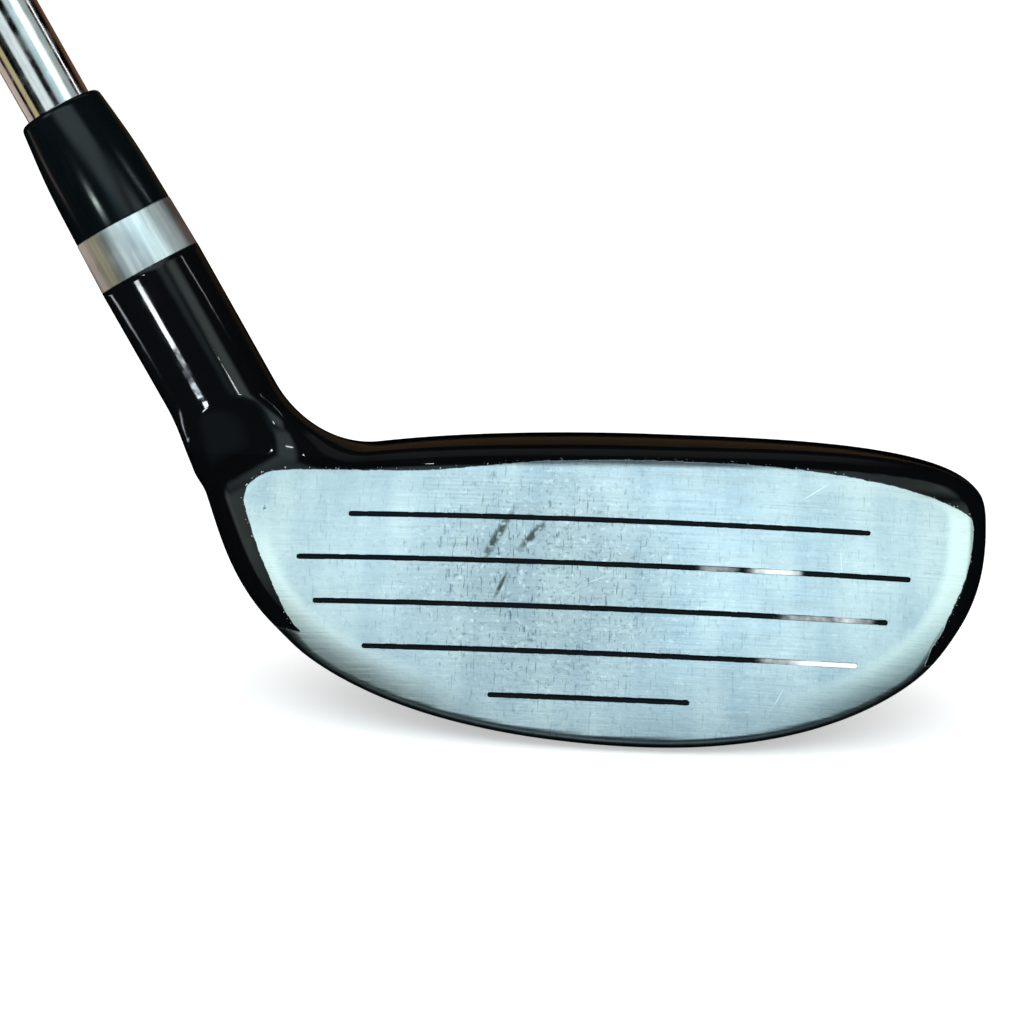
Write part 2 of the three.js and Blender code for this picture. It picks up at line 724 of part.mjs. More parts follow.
function ferrule() {
  const inner = SHAFT.tipRadius + SLIP;
  const from = HOSEL.top + BAND.length + GAP;
  const to = from + FERRULE.length - GAP;
  const base = bandTopRadius() - FERRULE.inset;
  const shoulder = SHAFT.tipRadius + FERRULE.shoulderWall;
  return lathe([
    [inner, from],
    [base, from],
    [mix(base, shoulder, FERRULE.waist), mix(from, to, 0.5)],
    [shoulder, to - FERRULE.shoulder],
    [SHAFT.tipRadius + FERRULE.rimWall, to],
    [inner, to],
  ]);
}

function hoselEpoxy() {
  return sleeve(SHAFT.tipRadius + SLIP, boreRadius() - SLIP, tipEnd(), HOSEL.top - GAP);
}

function tipPlug() {
  const from = tipEnd() + TIP_PLUG.inset;
  const radius = SHAFT.tipRadius - SHAFT.wall - SLIP;
  return lathe([[0, from], [radius, from], [radius, from + TIP_PLUG.length], [0, from + TIP_PLUG.length]]);
}

/** A plain band round the shaft, centred between two of its steps. */
function shaftLabel() {
  const radius = SHAFT.tipRadius + LABEL.step * stepRise();
  const from = taperStart() + (LABEL.step - 1) * SHAFT.stepLength + SHAFT.stepRamp + LABEL.inset;
  const to = taperStart() + LABEL.step * SHAFT.stepLength - LABEL.inset;
  return sleeve(radius + SLIP, radius + SLIP + LABEL.thickness, from, to);
}

function gripTape() {
  const inner = SHAFT.buttRadius + SLIP;
  const to = buttEnd() - TAPE.inset;
  return sleeve(inner, inner + TAPE.thickness, to - TAPE.length, to);
}

/** The rubber sleeve: a lip at its mouth, then a straight taper to the butt. */
function gripSleeve() {
  const inner = gripBore();
  const lip = inner + GRIP.lipWall;
  const mouth = CLUB_LENGTH - GRIP.length;
  return lathe([
    [inner, mouth],
    [lip - GRIP.lipRound, mouth],
    [lip, mouth + GRIP.lipRound],
    [lip, mouth + GRIP.lipLength],
    [inner + GRIP.mouthWall, mouth + GRIP.lipLength + GRIP.lipRamp],
    [inner + GRIP.buttWall, buttEnd()],
    [inner, buttEnd()],
  ]);
}

/** The end cap, with the vent hole that lets the grip slide on. */
function gripCap() {
  const from = CLUB_LENGTH - GRIP.capLength;
  const round = GRIP.capRound;
  const corner = 0.3 * round; // the rounded edge's middle point, in from both sides
  const radius = gripBore() + GRIP.buttWall + GRIP.capLedge;
  return lathe([
    [GRIP.ventRadius, from],
    [radius - GRIP.capLedge, from],
    [radius, from + round],
    [radius, CLUB_LENGTH - round],
    [radius - corner, CLUB_LENGTH - corner],
    [radius - round, CLUB_LENGTH],
    [GRIP.ventRadius, CLUB_LENGTH],
  ]);
}

// ---------------------------------------------------------------- the club

/** A named mesh. */
function piece(name, geometry, material) {
  const mesh = new THREE.Mesh(geometry, material);
  mesh.name = name;
  return mesh;
}

const head = new THREE.Group();
Object.entries(headPieces()).forEach(([name, [solid, material]]) => {
  head.add(piece(name, geometryOf(solid), material));
});

const shaftLine = new THREE.Group();
shaftLine.position.set(HOSEL.heelX, HOSEL.setback, 0);
shaftLine.rotation.y = LIE - Math.PI / 2;
shaftLine.add(
  piece('hosel_band', hoselBand(), MATERIALS.bandSteel),
  piece('ferrule', ferrule(), MATERIALS.ferrule),
  piece('hosel_epoxy', hoselEpoxy(), MATERIALS.epoxy),
  piece('shaft', shaftTube(), MATERIALS.chrome),
  piece('tip_plug', tipPlug(), MATERIALS.brass),
  piece('shaft_label', shaftLabel(), MATERIALS.vinyl),
  piece('grip_tape', gripTape(), MATERIALS.tape),
  piece('grip_sleeve', gripSleeve(), MATERIALS.rubber),
  piece('grip_cap', gripCap(), MATERIALS.capRubber),
);

const club = new THREE.Group();
club.add(head, shaftLine);

export default club;
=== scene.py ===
"""Visual model of a left-handed hybrid golf club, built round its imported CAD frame.

Sizes in this file are in millimetres unless a name says otherwise. +X runs from heel to toe, the face
looks along -Y and +Z is up. Points are turned to metres when a mesh is made.
"""

import logging
import math
from dataclasses import dataclass
from enum import Enum
from typing import Callable

import bpy
import numpy as np
from mathutils import Matrix, Vector


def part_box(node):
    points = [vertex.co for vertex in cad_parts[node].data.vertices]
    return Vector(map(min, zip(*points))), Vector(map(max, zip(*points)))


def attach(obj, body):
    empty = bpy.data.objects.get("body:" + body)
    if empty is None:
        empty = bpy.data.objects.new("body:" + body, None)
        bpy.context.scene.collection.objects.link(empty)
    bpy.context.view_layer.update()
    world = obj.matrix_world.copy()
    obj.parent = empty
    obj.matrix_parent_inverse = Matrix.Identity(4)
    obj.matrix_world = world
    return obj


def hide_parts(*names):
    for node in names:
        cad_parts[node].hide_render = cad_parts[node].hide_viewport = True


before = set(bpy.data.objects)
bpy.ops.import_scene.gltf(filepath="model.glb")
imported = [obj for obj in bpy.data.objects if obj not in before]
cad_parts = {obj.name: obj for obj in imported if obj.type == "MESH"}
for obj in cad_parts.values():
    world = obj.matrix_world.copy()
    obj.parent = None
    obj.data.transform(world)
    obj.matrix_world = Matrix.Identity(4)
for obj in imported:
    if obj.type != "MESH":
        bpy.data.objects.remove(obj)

LOG = logging.getLogger("hybrid_club")
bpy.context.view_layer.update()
BODY = "root"
MM = 0.001
BEYOND = 200.0  # further than any part of the head lies from the origin

Array = np.ndarray
Rings = list[Array]


# ---------------------------------------------------------------- small helpers


def smooth_ramp(start: float, end: float, value: Array) -> Array:
    """A smooth 0 to 1 ramp between two values."""
    share = np.clip((value - start) / (end - start), 0, 1)
    return share * share * (3 - 2 * share)


def mix(low: Array, high: Array, share: Array) -> Array:
    """Blend of two values."""
    return low + (high - low) * share


def taper(share: Array, power: float, root: float) -> Array:
    """One minus a power, itself raised to a power: the quarter-ellipse-like tapers of the head."""
    return np.maximum(1 - share**power, 1e-4) ** root


def rounded_both(a: Array, b: Array, radius: float) -> Array:
    """Intersection of two distances, with a round of the given radius along the edge."""
    past = np.hypot(np.maximum(a + radius, 0), np.maximum(b + radius, 0))
    return np.minimum(-radius, np.maximum(a, b)) + past


def filleted_either(a: Array, b: Array, radius: float) -> Array:
    """Union of two distances, with a fillet of the given radius."""
    inside = np.hypot(np.maximum(radius - a, 0), np.maximum(radius - b, 0))
    return np.maximum(radius, np.minimum(a, b)) - inside


def unit(vectors: Array) -> Array:
    """Vectors scaled to length one."""
    return vectors / np.maximum(np.linalg.norm(vectors, axis=-1, keepdims=True), 1e-12)


def linear(hex_colour: str) -> tuple[float, float, float, float]:
    """An sRGB hex colour as linear RGBA.

    Args:
        hex_colour: six hex digits after a #.

    Returns:
        Linear red, green and blue, and an alpha of 1.
    """
    digits = hex_colour.lstrip("#")
    shares = [int(digits[k : k + 2], 16) / 255 for k in (0, 2, 4)]
    rgb = [s / 12.92 if s <= 0.04045 else ((s + 0.055) / 1.055) ** 2.4 for s in shares]
    return (*rgb, 1.0)


# ---------------------------------------------------------------- the head's shape


@dataclass(frozen=True)
class Quarter:
    """Powers of the outline u^across + w^up = 1 in one quarter of a cross-section."""

    across: float
    up: float


@dataclass(frozen=True)
class HeadForm:
    """The head's outside as a signed distance, below 0 inside the metal. The sizes are the frame's own."""

    toe: float = 47.0
    heel: float = 58.5
    crown: float = 39.45
    widest: float = 29.4
    rear: float = 44.5
    rear_height: float = 13.0
    peak: float = 6.0
    crown_dip: float = 0.016
    sole_from: float = -6.0
    sole_to: float = 10.0
    sole_rise: float = 0.012
    sole_sink: float = 0.25
    wall: float = 1.4
    cavity_heel: float = -48.0
    cavity_front_round: float = 1.5
    cavity_heel_round: float = 3.0
    toe_top: Quarter = Quarter(3.1, 3.0)
    toe_low: Quarter = Quarter(2.0, 2.42)
    heel_top: Quarter = Quarter(2.0, 2.12)
    heel_low: Quarter = Quarter(2.0, 2.44)
    leading: float = -17.5
    loft: float = math.radians(22)
    bulge: float = 260.0
    roll: float = 300.0
    centre_x: float = -6.9
    centre_v: float = 20.6
    face_wall: float = 2.2
    edge_crown: float = 1.8
    edge_side: float = 3.0
    edge_sole: float = 1.3
    roll_off: float = 0.03  # how fast the face's sides curve away inside their rounding, per mm
    roll_reach: float = 6.2
    outline_depth: float = 4.0
    lie: float = math.radians(60)
    heel_x: float = -36.3
    setback: float = 7.5
    hosel_top: float = 70.3
    hosel_radius: float = 7.6
    root: float = 22.0
    fillet: float = 9.0
    sweep_from: float = 37.0
    sweep: float = 0.06
    turn_at: float = 47.6
    turn_radius: float = 21.9

    def section(self, y: Array) -> tuple[Array, Array, Array, Array]:
        """Heights of crown, sole and widest line, and the plan's share of its width, at depth y.

        Args:
            y: depth, from the face to the rear.

        Returns:
            The four of them.
        """
        back = np.clip((y - self.peak) / (self.rear - self.peak), 0, 1)
        lift = np.clip((y - self.sole_to) / (self.rear - self.sole_to), 0, 1)
        tail = self.rear_height
        top = tail + (self.crown - tail) * taper(back, 2, 0.6)
        top = top - self.crown_dip * np.maximum(self.peak - y, 0) ** 2
        bottom = tail - (tail + self.sole_sink) * taper(lift, 2.6, 0.6)
        bottom = bottom + self.sole_rise * np.maximum(self.sole_from - y, 0) ** 2
        widest = tail + (self.widest - tail) * taper(back, 2.2, 0.8)
        return top, bottom, widest, taper(back, 2.5, 0.5)

    def level(self, x: Array, y: Array, z: Array) -> Array:
        """Below 0 inside the rounded body, without its hosel or flat face. Not yet a distance.

        Args:
            x: place from heel to toe.
            y: depth, from the face to the rear.
            z: height.

        Returns:
            The level.
        """
        top, bottom, widest, plan = self.section(y)
        reach = np.maximum(np.where(z > widest, top - widest, widest - bottom), 0.3)
        u = np.abs(x) / (np.where(x > 0, self.toe, self.heel) * plan)
        w = np.abs(z - widest) / reach
        toe_share = smooth_ramp(-8, 8, x)
        top_share = smooth_ramp(-4, 4, z - widest)
        low_across = mix(self.heel_low.across, self.toe_low.across, toe_share)
        top_across = mix(self.heel_top.across, self.toe_top.across, toe_share)
        across = mix(low_across, top_across, top_share)
        low_up = mix(self.heel_low.up, self.toe_low.up, toe_share)
        top_up = mix(self.heel_top.up, self.toe_top.up, toe_share)
        up = mix(low_up, top_up, top_share)
        return (u**across + w**up) ** (2 / (across + up)) - 1

    def body(self, x: Array, y: Array, z: Array) -> Array:
        """Distance to the rounded body: its level over the length of the level's gradient.

        Args:
            x: place from heel to toe.
            y: depth, from the face to the rear.
            z: height.

        Returns:
            The distance.
        """
        step = 0.05
        here = self.level(x, y, z)
        slope_x = self.level(x + step, y, z) - here
        slope_y = self.level(x, y + step, z) - here
        slope_z = self.level(x, y, z + step) - here
        steepness = np.sqrt(slope_x**2 + slope_y**2 + slope_z**2) / step + 1e-9
        return np.maximum(here / steepness, y - self.rear)

    def sag(self, x: Array, v: Array) -> Array:
        """How far the bulged and rolled face lies behind its tangent plane."""
        bulge = (x - self.centre_x) ** 2 / (2 * self.bulge)
        return bulge + (v - self.centre_v) ** 2 / (2 * self.roll)

    def face_frame(self, x: Array, y: Array, z: Array) -> tuple[Array, Array, Array]:
        """Place in the face's own frame: x, v up the face and n out of it.

        Args:
            x: place from heel to toe.
            y: depth, from the face to the rear.
            z: height.

        Returns:
            The place as x, v and n.
        """
        v = (y - self.leading) * math.sin(self.loft) + z * math.cos(self.loft)
        n = z * math.sin(self.loft) - (y - self.leading) * math.cos(self.loft)
        return x, v, n

    def from_face(self, x: Array, v: Array, n: Array) -> Array:
        """Points of the face's own frame as x, y and z.

        Args:
            x: place from heel to toe.
            v: place up the face.
            n: place out of the face.

        Returns:
            The points, in one array.
        """
        y = self.leading + v * math.sin(self.loft) - n * math.cos(self.loft)
        z = v * math.cos(self.loft) + n * math.sin(self.loft)
        return np.stack([x + 0 * v, y, z], axis=-1)

    def face(self, x: Array, y: Array, z: Array) -> Array:
        """Distance in front of the face."""
        x, v, n = self.face_frame(x, y, z)
        return n + self.sag(x, v)

    def face_depth(self, x: Array, z: Array) -> Array:
        """Depth y of the face at x and height z.

        Args:
            x: place from heel to toe.
            z: height.

        Returns:
            The depth.
        """
        y = self.leading + z * math.tan(self.loft)
        for _ in range(3):
            y = y + self.face(x, y, z) / math.cos(self.loft)
        return y

    def along(self, x: Array, z: Array) -> Array:
        """Distance along the shaft's axis from the ground."""
        return (self.heel_x - x) * math.cos(self.lie) + z * math.sin(self.lie)

    def off_axis(self, x: Array, y: Array, z: Array) -> Array:
        """Distance from the shaft's axis, which ends at the neck's root.

        Args:
            x: place from heel to toe.
            y: depth, from the face to the rear.
            z: height.

        Returns:
            The distance.
        """
        across = (x - self.heel_x) * math.sin(self.lie) + z * math.cos(self.lie)
        beyond = np.minimum(self.along(x, z) - self.root, 0)
        return np.sqrt(across**2 + (y - self.setback) ** 2 + beyond**2)

    def edge_radius(self, x: Array, z: Array) -> Array:
        """Rounding between the face and the skirt: crisp along the sole, full at heel and toe.

        Args:
            x: place from heel to toe.
            z: height.

        Returns:
            The radius.
        """
        at_toe = smooth_ramp(self.toe - 19, self.toe - 5, x)
        at_heel = smooth_ramp(self.heel - 18.5, self.heel - 6.5, -x)
        below_top = 1 - smooth_ramp(self.crown - 8.5, self.crown - 2.5, z)
        upper = mix(self.edge_crown, self.edge_side, np.maximum(at_toe * below_top, at_heel))
        return mix(self.edge_sole, upper, smooth_ramp(9, 16, z))

    def side_share(self, x: Array, z: Array) -> Array:
        """1 along the face's toe and heel sides, where belt-polishing rolled it off, and 0 elsewhere."""
        side = np.maximum(smooth_ramp(14, 34, x), smooth_ramp(18, 44, -x) * (1 - smooth_ramp(20, 31, z)))
        return side * (1 - smooth_ramp(self.crown - 6.5, self.crown - 3.5, z))

    def solid(self, x: Array, y: Array, z: Array) -> Array:
        """Distance to the whole head. The flat of the face sweeps forward up the neck to clear it.

        Args:
            x: place from heel to toe.
            y: depth, from the face to the rear.
            z: height.

        Returns:
            The distance.
        """
        up_neck = self.along(x, z)
        hosel = np.maximum(self.off_axis(x, y, z) - self.hosel_radius, up_neck - self.hosel_top)
        joined = filleted_either(self.body(x, y, z), hosel, self.fillet)
        sweep = self.sweep * np.maximum(up_neck - self.sweep_from, 0) ** 2
        rolled = self.roll_off / 2 * np.maximum(joined + self.roll_reach, 0) ** 2 * self.side_share(x, z)
        return rounded_both(joined, self.face(x, y, z) - sweep + rolled, self.edge_radius(x, z))

    def grounded(self, x: Array, y: Array, z: Array) -> Array:
        """The whole head, cut flat where the sole meets the ground."""
        return np.maximum(self.solid(x, y, z), -z)

    def cavity(self, x: Array, y: Array, z: Array) -> Array:
        """Distance to the hollow inside the head.

        Args:
            x: place from heel to toe.
            y: depth, from the face to the rear.
            z: height.

        Returns:
            The distance.
        """
        shell = self.body(x, y, z) + self.wall
        room = rounded_both(shell, self.face(x, y, z) + self.face_wall, self.cavity_front_round)
        return rounded_both(room, self.cavity_heel - x, self.cavity_heel_round)

    def axis_point(self, along: float) -> Array:
        """A point on the shaft's axis."""
        x = self.heel_x - along * math.cos(self.lie)
        return np.array([x, self.setback, along * math.sin(self.lie)])

    def normals(self, points: Array) -> Array:
        """Unit gradient of the whole head's distance at points on its surface.

        Args:
            points: the points, in millimetres.

        Returns:
            The unit normals.
        """
        step = 0.02
        x, y, z = points.T
        slopes = [
            self.solid(x + step, y, z) - self.solid(x - step, y, z),
            self.solid(x, y + step, z) - self.solid(x, y - step, z),
            self.solid(x, y, z + step) - self.solid(x, y, z - step),
        ]
        normals = unit(np.stack(slopes, axis=-1))
        normals[z < 1e-3] = (0, 0, -1)
        return normals

    def body_spine(self, xs: Array) -> list[tuple[Array, Array]]:
        """Centres and up directions of upright cross-sections at the given x.

        Args:
            xs: places from heel to toe.

        Returns:
            Centre and up direction of each section.
        """
        toward_toe = smooth_ramp(28, self.toe, xs)
        heights = mix(24.0, self.widest - 1, toward_toe)
        centres = np.stack([xs, 8 - 4 * toward_toe, heights], axis=-1)
        return [(centre, np.array([0.0, 0.0, 1.0])) for centre in centres]

    def head_spine(self, body: int, fan: int, neck: int) -> list[tuple[Array, Array]]:
        """Stations from the toe to the neck's foot, then turning to the shaft's axis, then up the neck.

        Args:
            body: sections along the body.
            fan: sections round the bend.
            neck: sections up the neck.

        Returns:
            Centre and up direction of each section.
        """
        lean = np.array([math.sin(self.lie), 0.0, math.cos(self.lie)])
        pivot = self.axis_point(self.turn_at) + lean * self.turn_radius
        tip = self.toe - 0.02
        turns = np.linspace(0, math.pi / 2, body + 1)
        stations = self.body_spine(tip - (tip - pivot[0]) * (1 - np.cos(turns)))
        start = stations[-1][0]
        for share in np.linspace(0, 1, fan + 1)[1:]:
            up = np.array([math.sin(self.lie * share), 0.0, math.cos(self.lie * share)])
            centre = pivot - up * mix(pivot[2] - start[2], self.turn_radius, share)
            centre[1] = mix(start[1], self.setback, share)
            stations.append((centre, up))
        for share in np.linspace(0, 1, neck + 1)[1:]:
            stations.append((self.axis_point(mix(self.turn_at, self.hosel_top - 0.01, share)), lean))
        return stations

    def cavity_spine(self, count: int) -> list[tuple[Array, Array]]:
        """Stations inside the hollow, from the toe to the solid heel.

        Args:
            count: steps between the stations.

        Returns:
            Centre and up direction of each section.
        """
        start = self.toe - self.wall - 0.1
        end = self.cavity_heel + 0.1
        shares = 0.5 - 0.5 * np.cos(np.linspace(0, math.pi, count + 1))
        return self.body_spine(mix(start, end, shares))


def ray_exits(distance: Callable, centres: Array, directions: Array) -> Array:
    """Where rays leave a solid: a march outwards, then halving.

    Args:
        distance: signed distance of x, y and z.
        centres: start of each ray.
        directions: unit direction of each ray.

    Returns:
        The last point of each ray inside the solid.
    """
    stride = 1.5
    far = np.full(len(centres), stride)
    moving = np.arange(len(centres))
    while len(moving) and far.max() < 100:
        points = centres[moving] + directions[moving] * far[moving, None]
        moving = moving[distance(*points.T) <= 0]
        far[moving] += stride
    near = far - stride
    for _ in range(13):
        middle = (near + far) / 2
        outside = distance(*(centres + directions * middle[:, None]).T) > 0
        far = np.where(outside, middle, far)
        near = np.where(outside, near, middle)
    return centres + directions * near[:, None]


def field_rings(
    distance: Callable, spine: list[tuple[Array, Array]], rays: int, edge_at: float = 3.9, crowd: float = 0.0
) -> Rings:
    """Rings of ray exits round a spine, which runs roughly along -X.

    Args:
        distance: signed distance of x, y and z.
        spine: centre and up direction of each ring.
        rays: rays in each ring.
        edge_at: the direction of the sharpest edge, in radians from +Y towards the up direction.
        crowd: how strongly the rays crowd together there, from 0 to 1.

    Returns:
        The rings.
    """
    even = edge_at + np.linspace(0, 2 * math.pi, rays, endpoint=False)[:, None]
    turns = even + crowd * np.sin(edge_at - even)
    across = np.array([0.0, 1.0, 0.0])
    directions = np.concatenate([np.cos(turns) * across + np.sin(turns) * up for _, up in spine])
    centres = np.concatenate([np.tile(centre, (rays, 1)) for centre, _ in spine])
    exits = ray_exits(distance, centres, directions)
    return list(exits.reshape(len(spine), rays, 3))


def outline_of(field: Callable, centre: tuple[float, float], count: int) -> Array:
    """The closed plane outline round a centre on which a field of two values is zero.

    Args:
        field: signed distance of two values.
        centre: a place inside the outline.
        count: points on it.

    Returns:
        The outline's points.
    """
    turns = np.linspace(0, 2 * math.pi, count, endpoint=False)
    directions = np.stack([np.cos(turns), np.sin(turns), 0 * turns], axis=-1)
    centres = np.tile([*centre, 0.0], (count, 1))
    return ray_exits(lambda x, y, z: field(x, y), centres, directions)[:, :2]


def inset(outline: Array, distance: float) -> Array:
    """An anticlockwise outline moved inwards."""
    along = unit(np.roll(outline, -1, axis=0) - np.roll(outline, 1, axis=0))
    return outline + distance * np.stack([-along[:, 1], along[:, 0]], axis=-1)


def smooth_outline(corners: Array, steps: int) -> Array:
    """A closed Catmull-Rom curve through the given points.

    Args:
        corners: the points that it passes through.
        steps: points from one corner to the next.

    Returns:
        The curve's points.
    """
    before, after, last = (np.roll(corners, k, axis=0) for k in (1, -1, -2))
    pieces = []
    for t in np.linspace(0, 1, steps, endpoint=False):
        pull = 2 * before - 5 * corners + 4 * after - last
        twist = 3 * corners - before - 3 * after + last
        pieces.append(0.5 * (2 * corners + (after - before) * t + pull * t**2 + twist * t**3))
    return np.stack(pieces, axis=1).reshape(-1, 2)


def outline_distance(outline: Array, points: Array) -> Array:
    """Signed distance of plane points to a closed outline, below 0 inside it.

    Args:
        outline: the outline's points.
        points: the points, in millimetres.

    Returns:
        The distances.
    """
    nearest = np.full(len(points), np.inf)
    inside = np.zeros(len(points), bool)
    for start, end in zip(outline, np.roll(outline, -1, axis=0)):
        edge = end - start
        rest = points - start
        share = np.clip(rest @ edge / (edge @ edge), 0, 1)
        nearest = np.minimum(nearest, np.linalg.norm(rest - share[:, None] * edge, axis=1))
        spans = (start[1] > points[:, 1]) != (end[1] > points[:, 1])
        if edge[1] != 0:
            inside ^= spans & (rest[:, 0] < rest[:, 1] * edge[0] / edge[1])
    return np.where(inside, -nearest, nearest)


# ---------------------------------------------------------------- meshes


class Ends(Enum):
    """How a row of joined rings is closed."""

    POINT = "a fan round the middle of each end ring"
    STRIP = "quads across each end ring, between points that mirror each other"
    LOOP = "the last ring joins the first, as on a tube"


def lofted(rings: Rings, ends: Ends = Ends.POINT) -> tuple[Array, list[list[int]]]:
    """Joins equal rings of points into one closed surface with its faces pointing out.

    Args:
        rings: rings of equally many points.
        ends: how the first and the last ring are closed.

    Returns:
        The points and the faces.
    """
    count = len(rings[0])
    points = np.concatenate(rings)
    here = np.arange(count)
    following = (here + 1) % count
    faces = []
    for ring in range(len(rings) - (ends is not Ends.LOOP)):
        low = ring * count
        high = (ring + 1) % len(rings) * count
        faces += np.stack([low + here, high + here, high + following, low + following], axis=1).tolist()
    top = (len(rings) - 1) * count
    if ends is Ends.POINT:
        points = np.vstack([points, rings[0].mean(axis=0), rings[-1].mean(axis=0)])
        first = len(points) - 2
        faces += [[first, a, b] for a, b in zip(here.tolist(), following.tolist())]
        faces += [[first + 1, top + b, top + a] for a, b in zip(here.tolist(), following.tolist())]
    if ends is Ends.STRIP:
        strip = [[0, 1, count - 1], [count // 2 - 1, count // 2, count // 2 + 1]]
        strip += [[k, k + 1, count - k - 1, count - k] for k in range(1, count // 2 - 1)]
        faces += strip + [[top + corner for corner in face[::-1]] for face in strip]
    return (points, faces) if volume(points, faces) > 0 else (points, [face[::-1] for face in faces])


def volume(points: Array, faces: list[list[int]]) -> float:
    """Signed volume inside a closed surface of triangles and quads.

    Args:
        points: the points, in millimetres.
        faces: the corners of each face.

    Returns:
        The volume, above 0 if the faces point out.
    """
    corners = np.array([[*face, face[0]][:4] if len(face) == 3 else face for face in faces])
    a, b, c, d = (points[corners[:, k]] for k in range(4))
    return float(np.sum(a * np.cross(b, c)) + np.sum(a * np.cross(c, d))) / 6


def mesh_object(name: str, points: Array, faces: list[list[int]]) -> bpy.types.Object:
    """A smooth-shaded object in the scene, from points in millimetres.

    Args:
        name: the name that it gets.
        points: the points, in millimetres.
        faces: the corners of each face.

    Returns:
        The object.
    """
    mesh = bpy.data.meshes.new(name)
    mesh.from_pydata((points * MM).tolist(), [], faces)
    mesh.shade_smooth()
    made = bpy.data.objects.new(name, mesh)
    bpy.context.scene.collection.objects.link(made)
    return made


class Cut(Enum):
    """How one solid acts on another."""

    AWAY = "DIFFERENCE"
    COMMON = "INTERSECT"


def cut(target: bpy.types.Object, tool: bpy.types.Object, how: Cut) -> bpy.types.Object:
    """Cuts one solid with another and keeps the result in the first one's mesh.

    Args:
        target: the solid that is cut.
        tool: the solid that cuts it.
        how: what is kept.

    Returns:
        The first solid.
    """
    modifier = target.modifiers.new("cut", "BOOLEAN")
    modifier.operation = how.value
    modifier.solver = "MANIFOLD"
    modifier.object = tool
    evaluated = target.evaluated_get(bpy.context.evaluated_depsgraph_get())
    mesh = bpy.data.meshes.new_from_object(evaluated)
    target.modifiers.clear()
    old = target.data
    target.data = mesh
    bpy.data.meshes.remove(old)
    mesh.name = target.name
    return target


def copy_of(source: bpy.types.Object, name: str) -> bpy.types.Object:
    """A copy of an object with a mesh of its own.

    Args:
        source: the object to copy.
        name: the name that it gets.

    Returns:
        The copy.
    """
    made = bpy.data.objects.new(name, source.data.copy())
    bpy.context.scene.collection.objects.link(made)
    return made


def discard(*objects: bpy.types.Object) -> None:
    """Removes tools that have done their cutting."""
    for thing in objects:
        bpy.data.objects.remove(thing)


def points_of(mesh: bpy.types.Mesh) -> Array:
    """A mesh's points in millimetres.

    Args:
        mesh: the mesh.

    Returns:
        The points, one to a row.
    """
    flat = np.empty(len(mesh.vertices) * 3, np.float32)
    mesh.vertices.foreach_get("co", flat)
    return flat.reshape(-1, 3).astype(float) / MM


def store(mesh: bpy.types.Mesh, name: str, values: Array) -> None:
    """Keeps a number for each point of a mesh, for its finish to read."""
    attribute = mesh.attributes.new(name, "FLOAT", "POINT")
    attribute.data.foreach_set("value", values.astype(np.float32))


def crisp(thing: bpy.types.Object, degrees: float = 35.0) -> bpy.types.Object:
    """Shades a piece smooth, with an edge wherever it turns by more than the angle.

    Args:
        thing: the piece.
        degrees: the angle.

    Returns:
        The piece.
    """
    thing.data.shade_smooth()
    thing.data.set_sharp_from_angle(angle=math.radians(degrees))
    return thing


# ---------------------------------------------------------------- shader building


def add_node(
    tree: bpy.types.NodeTree, kind: str, inputs: dict | None = None, out: int | str = 0, **settings: object
) -> bpy.types.NodeSocket:
    """Adds a node with its settings, values and links.

    Args:
        tree: the node tree of a material or a light.
        kind: the node's type, without its ShaderNode prefix.
        inputs: input name or index, with a value or another node's output.
        out: which output to return.
        settings: the node's own properties.

    Returns:
        The chosen output, or the node's first input if it has no outputs.
    """
    node = tree.nodes.new("ShaderNode" + kind)
    for name, value in settings.items():
        setattr(node, name, value)
    for name, value in (inputs or {}).items():
        if isinstance(value, bpy.types.NodeSocket):
            tree.links.new(value, node.inputs[name])
        else:
            node.inputs[name].default_value = value
    return node.outputs[out] if node.outputs else node.inputs[0]


class Shader:
    """A material's node tree while it is being built."""

    def __init__(self, name: str) -> None:
        """Starts an empty material.

        Args:
            name: the material's name.
        """
        self.material = bpy.data.materials.new(name)
        self.material.use_nodes = True
        self.material.node_tree.nodes.clear()

    def add(
        self, kind: str, inputs: dict | None = None, out: int | str = 0, **settings: object
    ) -> bpy.types.NodeSocket:
        """Adds a node to the material's own tree, as add_node does."""
        return add_node(self.material.node_tree, kind, inputs, out, **settings)

    def finish(self, surface: bpy.types.NodeSocket) -> bpy.types.Material:
        """Closes the tree with its output."""
        self.add("OutputMaterial", {"Surface": surface})
        return self.material


MILLIMETRES = (1 / MM, 1 / MM, 1 / MM)


